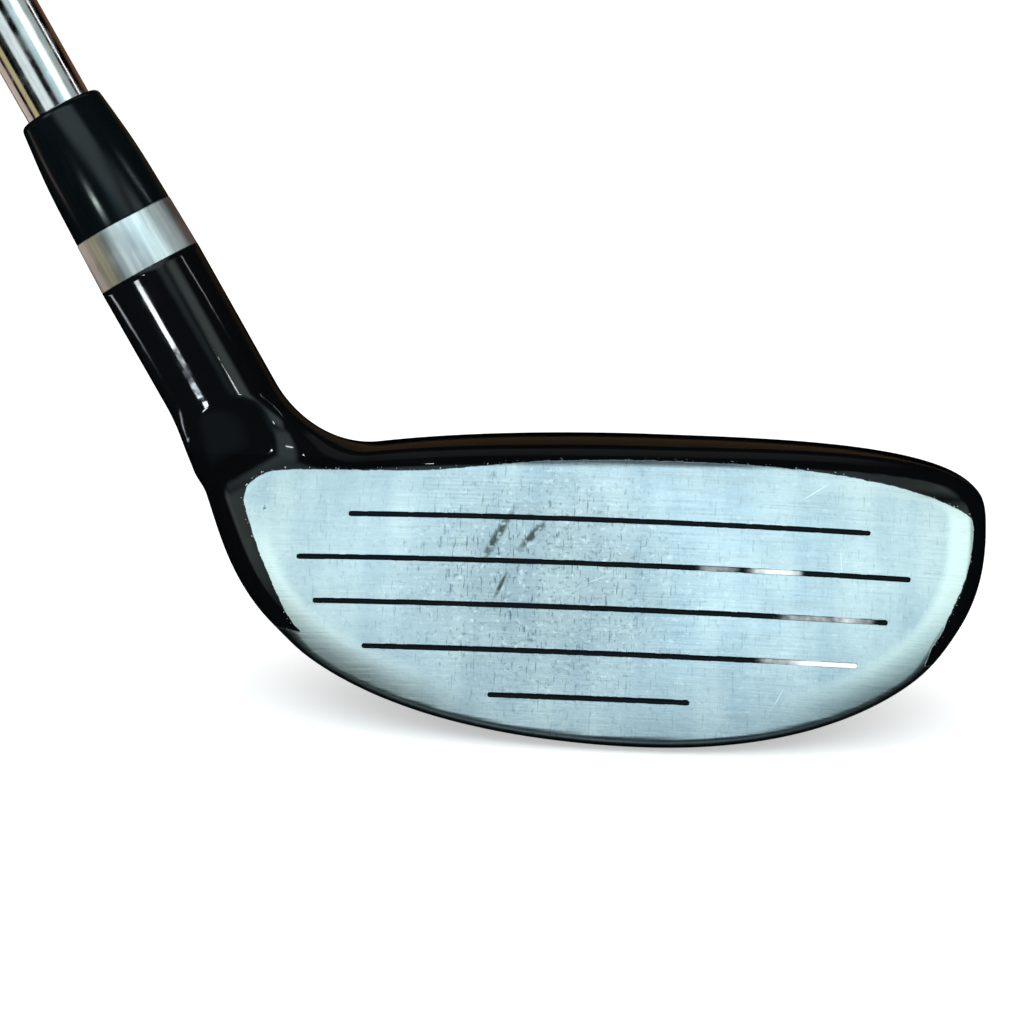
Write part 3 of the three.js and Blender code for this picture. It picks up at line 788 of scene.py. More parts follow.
@dataclass(frozen=True)
class MaskedHeadSteel:
    """Cast and forged 17-4 stainless steel, face brushed along its length, sole ground, skirt and crown
    sprayed with gloss black enamel over masking tape. It is one finish for every piece of the head, as on the
    real welded and sprayed one, so its zones run over the welds unbroken. The eye gets a cold satin sheen,
    peppered where balls hit it, inside a deep black rim with sharp lamps in it. Light is painted into the
    steel's colour too: a near-white highlight on the face's rolled-off toe and heel sides, upright streaks of
    lamp reflection in its tone, shade and glints in the dents of play, and shade in the sole's darker grey
    where the leading edge turns down.
    """

    steel: str = "#CBD6D8"
    steel_dull: str = "#B0C0C8"
    # Painted highlight on the face's rolled-off toe and heel sides.
    rim: str = "#EEF6F2"
    # The dark specks are painted shade in the dents of play; the tall marks take the same colour as their
    # own.
    dark_mark: str = "#5F7480"
    dent_glint: str = "#F6FBFB"
    # Darker grey of the ground sole; on the leading edge's downturned round it is painted shade.
    sole: str = "#989C9A"
    enamel: str = "#050607"
    bruise: str = "#55605C"
    scratch: str = "#E8F2F4"
    steel_roughness: float = 0.36
    enamel_roughness: float = 0.055
    brush_width: float = 0.22  # the real brush lines are nearer 0.05 mm, too fine to show
    brush_length: float = 9.0
    enamel_thickness: float = 0.07
    speck: float = 0.62  # width of the dark specks: painted shade in the dents of play
    glint_speck: float = 0.8  # width of the bright specks: painted glints on the dents' raised edges
    pit: float = 0.7
    tall_mark: tuple[float, float] = (0.28, 2.2)  # width and height
    grit: float = 0.9  # how coarsely the bruises are broken up
    tape_wander: float = 1.6  # how far apart the wanders of the enamel's taped edge are
    chip: float = 0.42
    smear: float = 6.0
    orange_peel: float = 2.6
    reflection_band_width: float = 5.5  # upright bands of tone: partly the belt's, partly painted streaks of lamp reflection
    band_length: float = 60.0
    cloud: float = 9.0
    wear_centre: tuple[float, float] = (-14.0, 23.0)  # x and v
    wear_reach: tuple[float, float] = (26.0, 22.0)
    form: HeadForm = HeadForm()

    def material(self) -> bpy.types.Material:
        """Builds the finish. It reads the paint_mm, sole_mm and rim numbers kept on the mesh's points; rim
        places a painted highlight.

        Returns:
            The material.
        """
        s = Shader("sprayed_and_brushed_stainless_steel")
        face = self.face_coordinates(s)
        paint = self.paint_mask(s, face)
        sole = self.band(s, s.add("Attribute", {}, "Fac", attribute_name="sole_mm"), -0.12, 0.25)
        brush = self.brushing(s, face)
        wear = self.impact_wear(s, face)
        steel = self.steel_colour(s, face, brush, wear, sole)
        colour = s.add("Mix", {0: paint, 6: steel, 7: linear(self.enamel)}, 2, data_type="RGBA")
        rough = self.roughness(s, face, brush, wear, paint)
        metal = s.add("Math", {0: 1.0, 1: paint}, operation="SUBTRACT")
        bump = self.relief(s, face, brush, wear, paint)
        tangent = s.add("Tangent", {}, direction_type="UV_MAP", uv_map="face_map")
        surface = s.add(
            "BsdfPrincipled",
            {
                "Base Color": colour,
                "Metallic": metal,
                "Roughness": rough,
                "Specular IOR Level": 0.2,
                "Anisotropic": 0.4,
                "Normal": bump,
                "Tangent": tangent,
            },
        )
        return s.finish(surface)

    def face_coordinates(self, s: Shader) -> bpy.types.NodeSocket:
        """Coordinates in millimetres with x along the face, y up it and z out of it.

        Args:
            s: the shader that is being built.

        Returns:
            The coordinates.
        """
        place = s.add("TexCoord", {}, "Object")
        tilt = self.form.loft - math.pi / 2
        edge = self.form.leading
        foot = (0.0, -edge * math.sin(self.form.loft), edge * math.cos(self.form.loft))
        placing = {"Vector": place, "Location": foot, "Rotation": (tilt, 0, 0), "Scale": MILLIMETRES}
        return s.add("Mapping", placing)

    def band(self, s: Shader, value: bpy.types.NodeSocket, low: float, high: float) -> bpy.types.NodeSocket:
        """A smooth step from 0 to 1 between two values."""
        return s.add("MapRange", {0: value, 1: low, 2: high}, interpolation_type="SMOOTHSTEP")

    def noise(
        self, s: Shader, place: bpy.types.NodeSocket, size: float, detail: float
    ) -> bpy.types.NodeSocket:
        """Noise whose patches are about the given size across."""
        return s.add("TexNoise", {"Vector": place, "Scale": 1 / size, "Detail": detail, "Roughness": 0.6})

    def paint_mask(self, s: Shader, face: bpy.types.NodeSocket) -> bpy.types.NodeSocket:
        """1 under the enamel. Its taped edge wanders by a tenth of a millimetre and is chipped in places.

        Args:
            s: the shader that is being built.
            face: coordinates on the face.

        Returns:
            The mask.
        """
        edge = s.add("Attribute", {}, "Fac", attribute_name="paint_mm")
        wander = s.add("Math", {0: self.noise(s, face, self.tape_wander, 4.0), 1: 0.5}, operation="SUBTRACT")
        edge = s.add("Math", {0: wander, 1: 0.5, 2: edge}, operation="MULTIPLY_ADD")
        chips = self.band(s, self.noise(s, face, self.chip, 1.0), 0.68, 0.72)
        near = s.add("MapRange", {0: edge, 1: 0.75, 2: 0.15})
        bite = s.add("Math", {0: chips, 1: near}, operation="MULTIPLY")
        edge = s.add("Math", {0: bite, 1: -0.8, 2: edge}, operation="MULTIPLY_ADD")
        return self.band(s, edge, -0.05, 0.05)

    def brushing(self, s: Shader, face: bpy.types.NodeSocket) -> bpy.types.NodeSocket:
        """Fine lines from heel to toe that the finishing belt left.

        Args:
            s: the shader that is being built.
            face: coordinates on the face.

        Returns:
            The lines, from 0 to 1.
        """
        scale = (1 / self.brush_length, 1 / self.brush_width, 0.5)
        lines = s.add("Mapping", {"Vector": face, "Scale": scale})
        return s.add("TexNoise", {"Vector": lines, "Scale": 1.0, "Detail": 4.0, "Roughness": 0.65})

    def impact_wear(self, s: Shader, face: bpy.types.NodeSocket) -> bpy.types.NodeSocket:
        """How worn the face is by play, from 0 to 1: most round its sweet spot.

        Args:
            s: the shader that is being built.
            face: coordinates on the face.

        Returns:
            The wear.
        """
        x, v = self.wear_centre
        across, up = self.wear_reach
        middle = s.add("Mapping", {"Vector": face, "Location": (-x, -v, 0), "Scale": (1, 1, 0)})
        spread = s.add("Mapping", {"Vector": middle, "Scale": (1 / across, 1 / up, 0)})
        reach = s.add("VectorMath", {0: spread}, 1, operation="LENGTH")
        return self.band(s, reach, 1.0, 0.25)

    def stroke(
        self,
        s: Shader,
        face: bpy.types.NodeSocket,
        start: tuple[float, float],
        end: tuple[float, float],
        width: float,
    ) -> bpy.types.NodeSocket:
        """A soft-ended mark between two places on the face, from 0 to 1.

        Args:
            s: the shader.
            face: coordinates on the face.
            start: x and v of one end.
            end: x and v of the other.
            width: how wide the mark is.

        Returns:
            The mark's strength.
        """
        along = Vector(end) - Vector(start)
        middle = (Vector(end) + Vector(start)) / 2
        turned = s.add(
            "Mapping",
            {
                "Vector": face,
                "Location": (middle.x, middle.y, 0),
                "Rotation": (0, 0, math.atan2(along.y, along.x)),
                "Scale": (along.length / 2, width / 2, 1e6),
            },
            vector_type="TEXTURE",
        )
        reach = s.add("VectorMath", {0: turned}, 1, operation="LENGTH")
        return self.band(s, reach, 1.0, 0.3)

    def steel_colour(
        self,
        s: Shader,
        face: bpy.types.NodeSocket,
        brush: bpy.types.NodeSocket,
        wear: bpy.types.NodeSocket,
        sole: bpy.types.NodeSocket,
    ) -> bpy.types.NodeSocket:
        """Bare steel: lined by the belt and banded upright, partly by the belt and partly by painted streaks
        of lamp reflection; peppered and bruised where balls and stones hit it, with painted shade and glints
        in the specks' dents; near white on the rolled-off toe and heel sides, a painted highlight.

        Args:
            s: the shader that is being built.
            face: coordinates on the face.
            brush: the belt's lines, from 0 to 1.
            wear: how worn the face is, from 0 to 1.
            sole: 1 on the sole's darker grey: ground steel, and painted shade on the downturned leading edge.

        Returns:
            The colour.
        """
        # Upright bands of tone: partly the belt's own, partly painted streaks of lamp reflection spread
        # upright by the brushing.
        bands = s.add("Mapping", {"Vector": face, "Scale": (1 / self.reflection_band_width, 1 / self.band_length, 0)})
        band = s.add("TexNoise", {"Vector": bands, "Scale": 1.0, "Detail": 2.5, "Roughness": 0.5})
        cloud = self.noise(s, face, self.cloud, 4.0)
        tone = s.add("Math", {0: band, 1: 1.2, 2: cloud}, operation="MULTIPLY_ADD")
        tone = s.add("Math", {0: brush, 1: 0.55, 2: tone}, operation="MULTIPLY_ADD")
        tone = self.band(s, tone, 1.05, 1.75)
        tones = {0: tone, 6: linear(self.steel_dull), 7: linear(self.steel)}
        steel = s.add("Mix", tones, 2, data_type="RGBA")
        play = s.add("Math", {0: wear, 1: 0.7, 2: 0.3}, operation="MULTIPLY_ADD")
        specks = self.noise(s, face, self.speck, 5.0)
        glint_specks = self.noise(s, self.shifted(s, face, 40), self.glint_speck, 6.0)
        # Specks of play: the dark ones are painted shade in their dents, the bright ones painted glints on
        # their edges.
        for texture, low, high, colour, share in (
            (specks, 0.53, 0.68, self.dark_mark, 0.55),
            (glint_specks, 0.54, 0.7, self.dent_glint, 0.6),
            (self.tall_marks(s, face), 0.61, 0.7, self.dark_mark, 0.8),
        ):
            amount = s.add("Math", {0: self.band(s, texture, low, high), 1: play}, operation="MULTIPLY")
            amount = s.add("Math", {0: amount, 1: share}, operation="MULTIPLY")
            steel = s.add("Mix", {0: amount, 6: steel, 7: linear(colour)}, 2, data_type="RGBA")
        grit = self.band(s, self.noise(s, face, self.grit, 5.0), 0.34, 0.52)
        for start, end, width in FACE_BRUISES:
            mark = s.add("Math", {0: self.stroke(s, face, start, end, width), 1: grit}, operation="MULTIPLY")
            steel = s.add("Mix", {0: mark, 6: steel, 7: linear(self.bruise)}, 2, data_type="RGBA")
        for start, end, width in FACE_SCRATCHES:
            mark = self.stroke(s, face, start, end, width)
            steel = s.add("Mix", {0: mark, 6: steel, 7: linear(self.scratch)}, 2, data_type="RGBA")
        # Painted highlight: the rolled-off toe and heel sides turn near white, streaked along the brush
        # lines.
        rim = s.add("Attribute", {}, "Fac", attribute_name="rim")
        highlight_streak = s.add("MapRange", {0: brush, 1: 0.3, 2: 0.65, 3: 0.35, 4: 0.95})
        rim = s.add("Math", {0: rim, 1: highlight_streak}, operation="MULTIPLY")
        steel = s.add("Mix", {0: rim, 6: steel, 7: linear(self.rim)}, 2, data_type="RGBA")
        # The sole's darker grey, painted shade where the leading edge turns down.
        return s.add("Mix", {0: sole, 6: steel, 7: linear(self.sole)}, 2, data_type="RGBA")

    def shifted(self, s: Shader, face: bpy.types.NodeSocket, way: float) -> bpy.types.NodeSocket:
        """The face's coordinates moved, so that a second noise isn't the first again."""
        return s.add("VectorMath", {0: face, 1: (way, way, way)}, operation="ADD")

    def tall_marks(self, s: Shader, face: bpy.types.NodeSocket) -> bpy.types.NodeSocket:
        """Short upright marks, as a tee or a stone leaves them.

        Args:
            s: the shader that is being built.
            face: coordinates on the face.

        Returns:
            The marks, from 0 to 1.
        """
        width, height = self.tall_mark
        tall = s.add("Mapping", {"Vector": face, "Scale": (1 / width, 1 / height, 0.5)})
        return s.add("TexNoise", {"Vector": tall, "Scale": 1.0, "Detail": 2.0})

    def roughness(
        self,
        s: Shader,
        face: bpy.types.NodeSocket,
        brush: bpy.types.NodeSocket,
        wear: bpy.types.NodeSocket,
        paint: bpy.types.NodeSocket,
    ) -> bpy.types.NodeSocket:
        """Satin steel, duller in the brush lines and where worn, beside glassy enamel with faint smears.

        Args:
            s: the shader that is being built.
            face: coordinates on the face.
            brush: the belt's lines, from 0 to 1.
            wear: how worn the face is, from 0 to 1.
            paint: 1 under the enamel.

        Returns:
            The roughness.
        """
        dull = self.steel_roughness
        glassy = self.enamel_roughness
        steel = s.add("MapRange", {0: brush, 1: 0.3, 2: 0.7, 3: dull - 0.06, 4: dull + 0.08})
        steel = s.add("Math", {0: wear, 1: 0.12, 2: steel}, operation="MULTIPLY_ADD")
        smear = self.noise(s, face, self.smear, 5.0)
        enamel = s.add("MapRange", {0: smear, 1: 0.45, 2: 0.75, 3: glassy, 4: glassy + 0.08})
        return s.add("Mix", {0: paint, 2: steel, 3: enamel})

    def relief(
        self,
        s: Shader,
        face: bpy.types.NodeSocket,
        brush: bpy.types.NodeSocket,
        wear: bpy.types.NodeSocket,
        paint: bpy.types.NodeSocket,
    ) -> bpy.types.NodeSocket:
        """Height in millimetres: the step up to the enamel, its orange peel, the brush lines and the pits.

        Args:
            s: the shader that is being built.
            face: coordinates on the face.
            brush: the belt's lines, from 0 to 1.
            wear: how worn the face is, from 0 to 1.
            paint: 1 under the enamel.

        Returns:
            The normals that the height gives.
        """
        bare = s.add("Math", {0: 1.0, 1: paint}, operation="SUBTRACT")
        lines = s.add("Math", {0: brush, 1: bare}, operation="MULTIPLY")
        height = s.add("Math", {0: lines, 1: 0.006}, operation="MULTIPLY")
        pits = s.add("Math", {0: self.noise(s, face, self.pit, 5.0), 1: bare}, operation="MULTIPLY")
        depth = s.add("Math", {0: wear, 1: -0.03, 2: -0.008}, operation="MULTIPLY_ADD")
        height = s.add("Math", {0: pits, 1: depth, 2: height}, operation="MULTIPLY_ADD")
        peel = s.add("Math", {0: self.noise(s, face, self.orange_peel, 1.5), 1: paint}, operation="MULTIPLY")
        height = s.add("Math", {0: peel, 1: 0.012, 2: height}, operation="MULTIPLY_ADD")
        height = s.add("Math", {0: paint, 1: self.enamel_thickness, 2: height}, operation="MULTIPLY_ADD")
        return s.add("Bump", {"Height": height, "Distance": MM, "Strength": 1.0})


# Marks on the face, each from one x and v to another, with its width.
FACE_BRUISES = [
    ((-23.6, 24.2), (-17.9, 34.6), 1.7),
    ((-18.3, 27.0), (-13.4, 32.4), 1.5),
    ((-21.0, 20.2), (-18.8, 25.2), 0.8),
]
FACE_SCRATCHES = [
    ((20.3, 35.9), (25.1, 39.2), 0.22),
    ((-8.6, 23.2), (-5.2, 24.6), 0.2),
    ((26.2, 30.2), (26.4, 26.0), 0.16),
    ((17.4, 7.4), (19.0, 10.6), 0.18),
]


@dataclass(frozen=True)
class LinePaint:
    """Matt black enamel flooded into the score lines and wiped off. Towards the toe it turns near white in
    patches.
    """

    black: str = "#050A0E"
    pale_patch: str = "#EFEFF0"
    roughness: float = 0.5

    def material(self) -> bpy.types.Material:
        """Builds the finish. It reads the wear number kept on the mesh's points: how far the fill turns to
        its pale patches there.

        Returns:
            The material.
        """
        s = Shader("flooded_black_enamel")
        place = s.add("Mapping", {"Vector": s.add("TexCoord", {}, "Object"), "Scale": MILLIMETRES})
        blotch = s.add("TexNoise", {"Vector": place, "Scale": 0.9, "Detail": 4.0})
        worn = s.add("Attribute", {}, "Fac", attribute_name="wear")
        uneven = s.add("Math", {0: blotch, 1: 0.5, 2: worn}, operation="MULTIPLY_ADD")
        share = s.add("MapRange", {0: uneven, 1: 0.35, 2: 1.15}, interpolation_type="SMOOTHSTEP")
        # Near white in patches where the wear number and the blotches are high.
        colour = s.add("Mix", {0: share, 6: linear(self.black), 7: linear(self.pale_patch)}, 2, data_type="RGBA")
        rough = s.add("MapRange", {0: blotch, 3: self.roughness - 0.12, 4: self.roughness + 0.15})
        bump = s.add("Bump", {"Height": blotch, "Distance": 0.02 * MM, "Strength": 1.0})
        surface = {"Base Color": colour, "Roughness": rough, "Specular IOR Level": 0.1, "Normal": bump}
        return s.finish(s.add("BsdfPrincipled", surface))


@dataclass(frozen=True)
class RoundFinish:
    """A finish for the turned pieces on the shaft's axis: one colour broken by clouds, by fine lines along or
    round the axis and by a relief, all in real millimetres.
    """

    name: str
    colour: str
    second: str
    roughness: float
    spread: float  # how much rougher the roughest patches are
    metallic: float = 0.0  # 0 or 1
    specular: float = 0.5
    cloud: float = 6.0  # size of the patches between the two colours
    across: float = 0.4  # line width
    length: float = 20.0  # line length, along the axis
    relief: float = 0.002  # height of the lines
    form: HeadForm = HeadForm()

    def material(self) -> bpy.types.Material:
        """Builds the finish.

        Returns:
            The material.
        """
        s = Shader(self.name)
        place = s.add("TexCoord", {}, "Object")
        lean = math.pi / 2 - self.form.lie
        axis = s.add("Mapping", {"Vector": place, "Rotation": (0, lean, 0), "Scale": MILLIMETRES})
        stretch = (1 / self.across, 1 / self.across, 1 / self.length)
        stretched = s.add("Mapping", {"Vector": axis, "Scale": stretch})
        lines = s.add("TexNoise", {"Vector": stretched, "Scale": 1.0, "Detail": 4.0, "Roughness": 0.6})
        cloud = s.add("TexNoise", {"Vector": axis, "Scale": 1 / self.cloud, "Detail": 4.0})
        tone = s.add("Math", {0: lines, 1: cloud}, operation="MULTIPLY")
        tone = s.add("MapRange", {0: tone, 1: 0.15, 2: 0.36}, interpolation_type="SMOOTHSTEP")
        colour = s.add("Mix", {0: tone, 6: linear(self.second), 7: linear(self.colour)}, 2, data_type="RGBA")
        roughest = self.roughness + self.spread
        rough = s.add("MapRange", {0: cloud, 1: 0.35, 2: 0.7, 3: self.roughness, 4: roughest})
        bump = s.add("Bump", {"Height": lines, "Distance": self.relief * MM, "Strength": 1.0})
        surface = s.add(
            "BsdfPrincipled",
            {
                "Base Color": colour,
                "Metallic": self.metallic,
                "Roughness": rough,
                "Specular IOR Level": self.specular,
                "Normal": bump,
            },
        )
        return s.finish(surface)


# Turned and satin-polished aluminium: bright, with soft streaks along the axis from handling.
BAND_ALUMINIUM = RoundFinish(
    "satin_turned_aluminium", "#DDE2E3", "#B9C2C4", 0.36, 0.12, metallic=1.0, across=0.7, length=30
)
# Cellulose acetate, turned and acetone-polished: deep black and nearly as glossy as the enamel below it.
FERRULE_PLASTIC = RoundFinish(
    "polished_cellulose_acetate", "#04080A", "#070B0D", 0.1, 0.1, specular=0.2, relief=0.003
)
# Bright nickel-chrome plate over drawn steel: a mirror, with hairlines along the tube and a few dull spots.
SHAFT_CHROME = RoundFinish(
    "chrome_plated_steel", "#DDE0E0", "#C2C6C5", 0.07, 0.18, metallic=1.0, cloud=2.5, across=0.5, length=30
)
# Cast vinyl film: slightly glossy, even, with a fine pebble.
LABEL_VINYL = RoundFinish("calendered_vinyl_film", "#26282C", "#303338", 0.32, 0.12, across=0.3, length=0.3)
# Moulded EPDM rubber: matt, its black greyed by chalky wear.
GRIP_RUBBER = RoundFinish(
    "moulded_epdm_rubber", "#1A1A1C", "#29292B", 0.72, 0.15, specular=0.35, cloud=14.0, across=0.25,
    length=0.4, relief=0.03,
)
# Harder rubber of the end cap, a little shinier where it meets the ground and the bag.
CAP_RUBBER = RoundFinish(
    "moulded_hard_rubber", "#1E1E20", "#2C2C2E", 0.55, 0.2, specular=0.4, cloud=5.0, across=0.3, length=0.5,
    relief=0.02,
)
# Sintered tungsten alloy: dull grey metal with the lines of the lathe tool.
PLUG_TUNGSTEN = RoundFinish(
    "turned_tungsten_alloy", "#8A8C8E", "#6E7072", 0.34, 0.15, metallic=1.0, across=0.3, length=0.6
)
# Turned brass, never polished: warm yellow metal with tool lines.
TIP_BRASS = RoundFinish("turned_brass", "#C7A353", "#A98643", 0.3, 0.15, metallic=1.0, across=0.3, length=8)
# Two-part epoxy set in the bore: amber and glossy, with cloudy streaks from its mixing.
EPOXY = RoundFinish("cast_epoxy", "#C9B26A", "#B59C55", 0.3, 0.1, cloud=3.0)
# Hot-melt resin set in a puddle inside the head: waxy, pale, with soft lumps.
HOT_MELT = RoundFinish("hot_melt_resin", "#D9C48A", "#C6AF73", 0.4, 0.15, cloud=8.0, across=3.0, length=3.0)
# Creped paper tape: matt, cream, with the crepe's fine wrinkles.
TAPE = RoundFinish("creped_paper_tape", "#D8CFB4", "#C4B998", 0.8, 0.1, across=0.4, length=0.6, relief=0.05)


# ---------------------------------------------------------------- the head


@dataclass
class PaintPlan:
    """Where the enamel ends: round the bare face, and along the waterline of the bare sole."""

    form: HeadForm
    heel_water: float = 13.2  # height of the enamel's lower edge at the heel
    toe_water: float = 11.6
    water_drop: float = 4.5  # how far it drops towards the rear
    front_depth: float = 3.0  # how far behind the face the bare face's edge is masked
    dark_sole_behind: float = 0.55  # the sole's darker grey, painted shade on the downturned leading edge, starts this far behind the face
    dark_sole_over_water: float = 1.5
    corners: tuple[tuple[float, float], ...] = (
        (-47.3, 15.5), (-49.7, 18.5), (-53.4, 25.5), (-55.5, 30.4), (-56.7, 34.0), (-56.1, 36.4),
        (-53.4, 38.1), (-48.9, 38.5), (-40.0, 38.45), (-30.5, 38.6), (-20.8, 39.6), (-12.6, 40.4),
        (-2.9, 40.8), (6.7, 40.9), (14.9, 40.8), (23.2, 40.4), (28.8, 39.8), (34.3, 38.9),
        (38.5, 37.9), (42.1, 36.6), (43.9, 35.7), (44.6, 34.8), (44.65, 32.1), (43.9, 27.7),
        (42.6, 24.2), (40.8, 20.1), (39.3, 17.3), (37.9, 14.1), (36.5, 9.0), (30.0, -6.0),
        (-5.0, -10.0), (-38.0, -6.0), (-44.0, 6.0), (-45.8, 12.5),
    )

    def waterline(self, x: Array, y: Array) -> Array:
        """Height of the enamel's lower edge on the skirt."""
        front = mix(self.heel_water, self.toe_water, smooth_ramp(-50, 40, x))
        return front - self.water_drop * smooth_ramp(0, 40, y)

    def paint_distance(self, points: Array) -> Array:
        """Distance into the enamel, below 0 on bare steel.

        Args:
            points: the points, in millimetres.

        Returns:
            The distances.
        """
        x, v, _ = self.form.face_frame(*points.T)
        masked = outline_distance(smooth_outline(np.array(self.corners), 8), np.stack([x, v], axis=-1))
        front = np.maximum(masked, -self.form.face(*points.T) - self.front_depth)
        skirt = points[:, 2] - self.waterline(points[:, 0], points[:, 1])
        return np.minimum(front, skirt)

    def side_highlight_share(self, points: Array) -> Array:
        """1 on the painted highlight along the face's rolled-off toe and heel sides.

        Args:
            points: the points, in millimetres.

        Returns:
            The share at each point.
        """
        inside = self.form.body(*points.T)
        front = smooth_ramp(-2.0, -0.8, self.form.face(*points.T))
        return smooth_ramp(-6.6, -5.0, inside) * self.form.side_share(points[:, 0], points[:, 2]) * front

    def sole_distance(self, points: Array) -> Array:
        """Distance past the brushed face onto the sole's darker grey: ground steel, and painted shade on the
        downturned leading edge.

        Args:
            points: the points, in millimetres.

        Returns:
            The distances.
        """
        behind = -self.form.face(*points.T) - self.dark_sole_behind
        water = self.waterline(points[:, 0], points[:, 1])
        return np.minimum(behind, water + self.dark_sole_over_water - points[:, 2])


@dataclass
class ScoreLine:
    """One groove in the face and its paint."""

    start: float
    end: float
    v: float
    # Where the fill turns near white: shares at places along x.
    wear: tuple[tuple[float, float], ...] = ()
    width: float = 0.64
    depth: float = 0.45

    def stadium(self, half: float, level: float, form: HeadForm) -> Array:
        """A round-ended ring round the groove's middle line, at a level off the face.

        Args:
            half: half the ring's width.
            level: height above the face.
            form: the head, whose face the ring follows.

        Returns:
            The ring's points.
        """
        reach = self.width / 2
        turn = np.linspace(0, math.pi / 2, 7)
        quarter_x = self.end - reach + half * np.cos(turn)
        straight_x = mix(self.end - reach, self.start + reach, np.linspace(0, 1, 90)[1:-1])
        far_x = self.start + reach - half * np.cos(turn[::-1])
        x = np.concatenate([quarter_x, straight_x, far_x])
        rise = np.concatenate([half * np.sin(turn), 0 * straight_x + half, half * np.sin(turn[::-1])])
        x = np.concatenate([x, x[-2:0:-1]])
        v = self.v + np.concatenate([rise, -rise[-2:0:-1]])
        return form.from_face(x, v, level - form.sag(x, v))

    def groove(self, form: HeadForm) -> tuple[Array, list[list[int]]]:
        """The cutter: straight walls, a rounded floor and a broken edge at the face.

        Args:
            form: the head's shape.

        Returns:
            The cutter's points and faces.
        """
        half = self.width / 2
        steps = [
            (half + 0.9, 0.8), (half + 0.1, 0.02), (half + 0.03, -0.03), (half, -0.1),
            (half * 0.92, -0.33), (half * 0.7, -self.depth + 0.03), (half * 0.3, -self.depth),
        ]
        return lofted([self.stadium(width, level, form) for width, level in steps], Ends.STRIP)

    def fill(self, form: HeadForm) -> tuple[Array, list[list[int]]]:
        """The paint: its surface dips to a meniscus between the groove's walls.

        Args:
            form: the head's shape.

        Returns:
            The fill's points and faces.
        """
        half = self.width / 2
        steps = [
            (half * 0.2, -self.depth + 0.06), (half * 0.7, -self.depth + 0.07), (half * 0.9, -0.32),
            (half - 0.02, -0.12), (half * 0.9, -0.13), (half * 0.6, -0.16), (half * 0.15, -0.18),
        ]
        return lofted([self.stadium(width, level, form) for width, level in steps], Ends.STRIP)


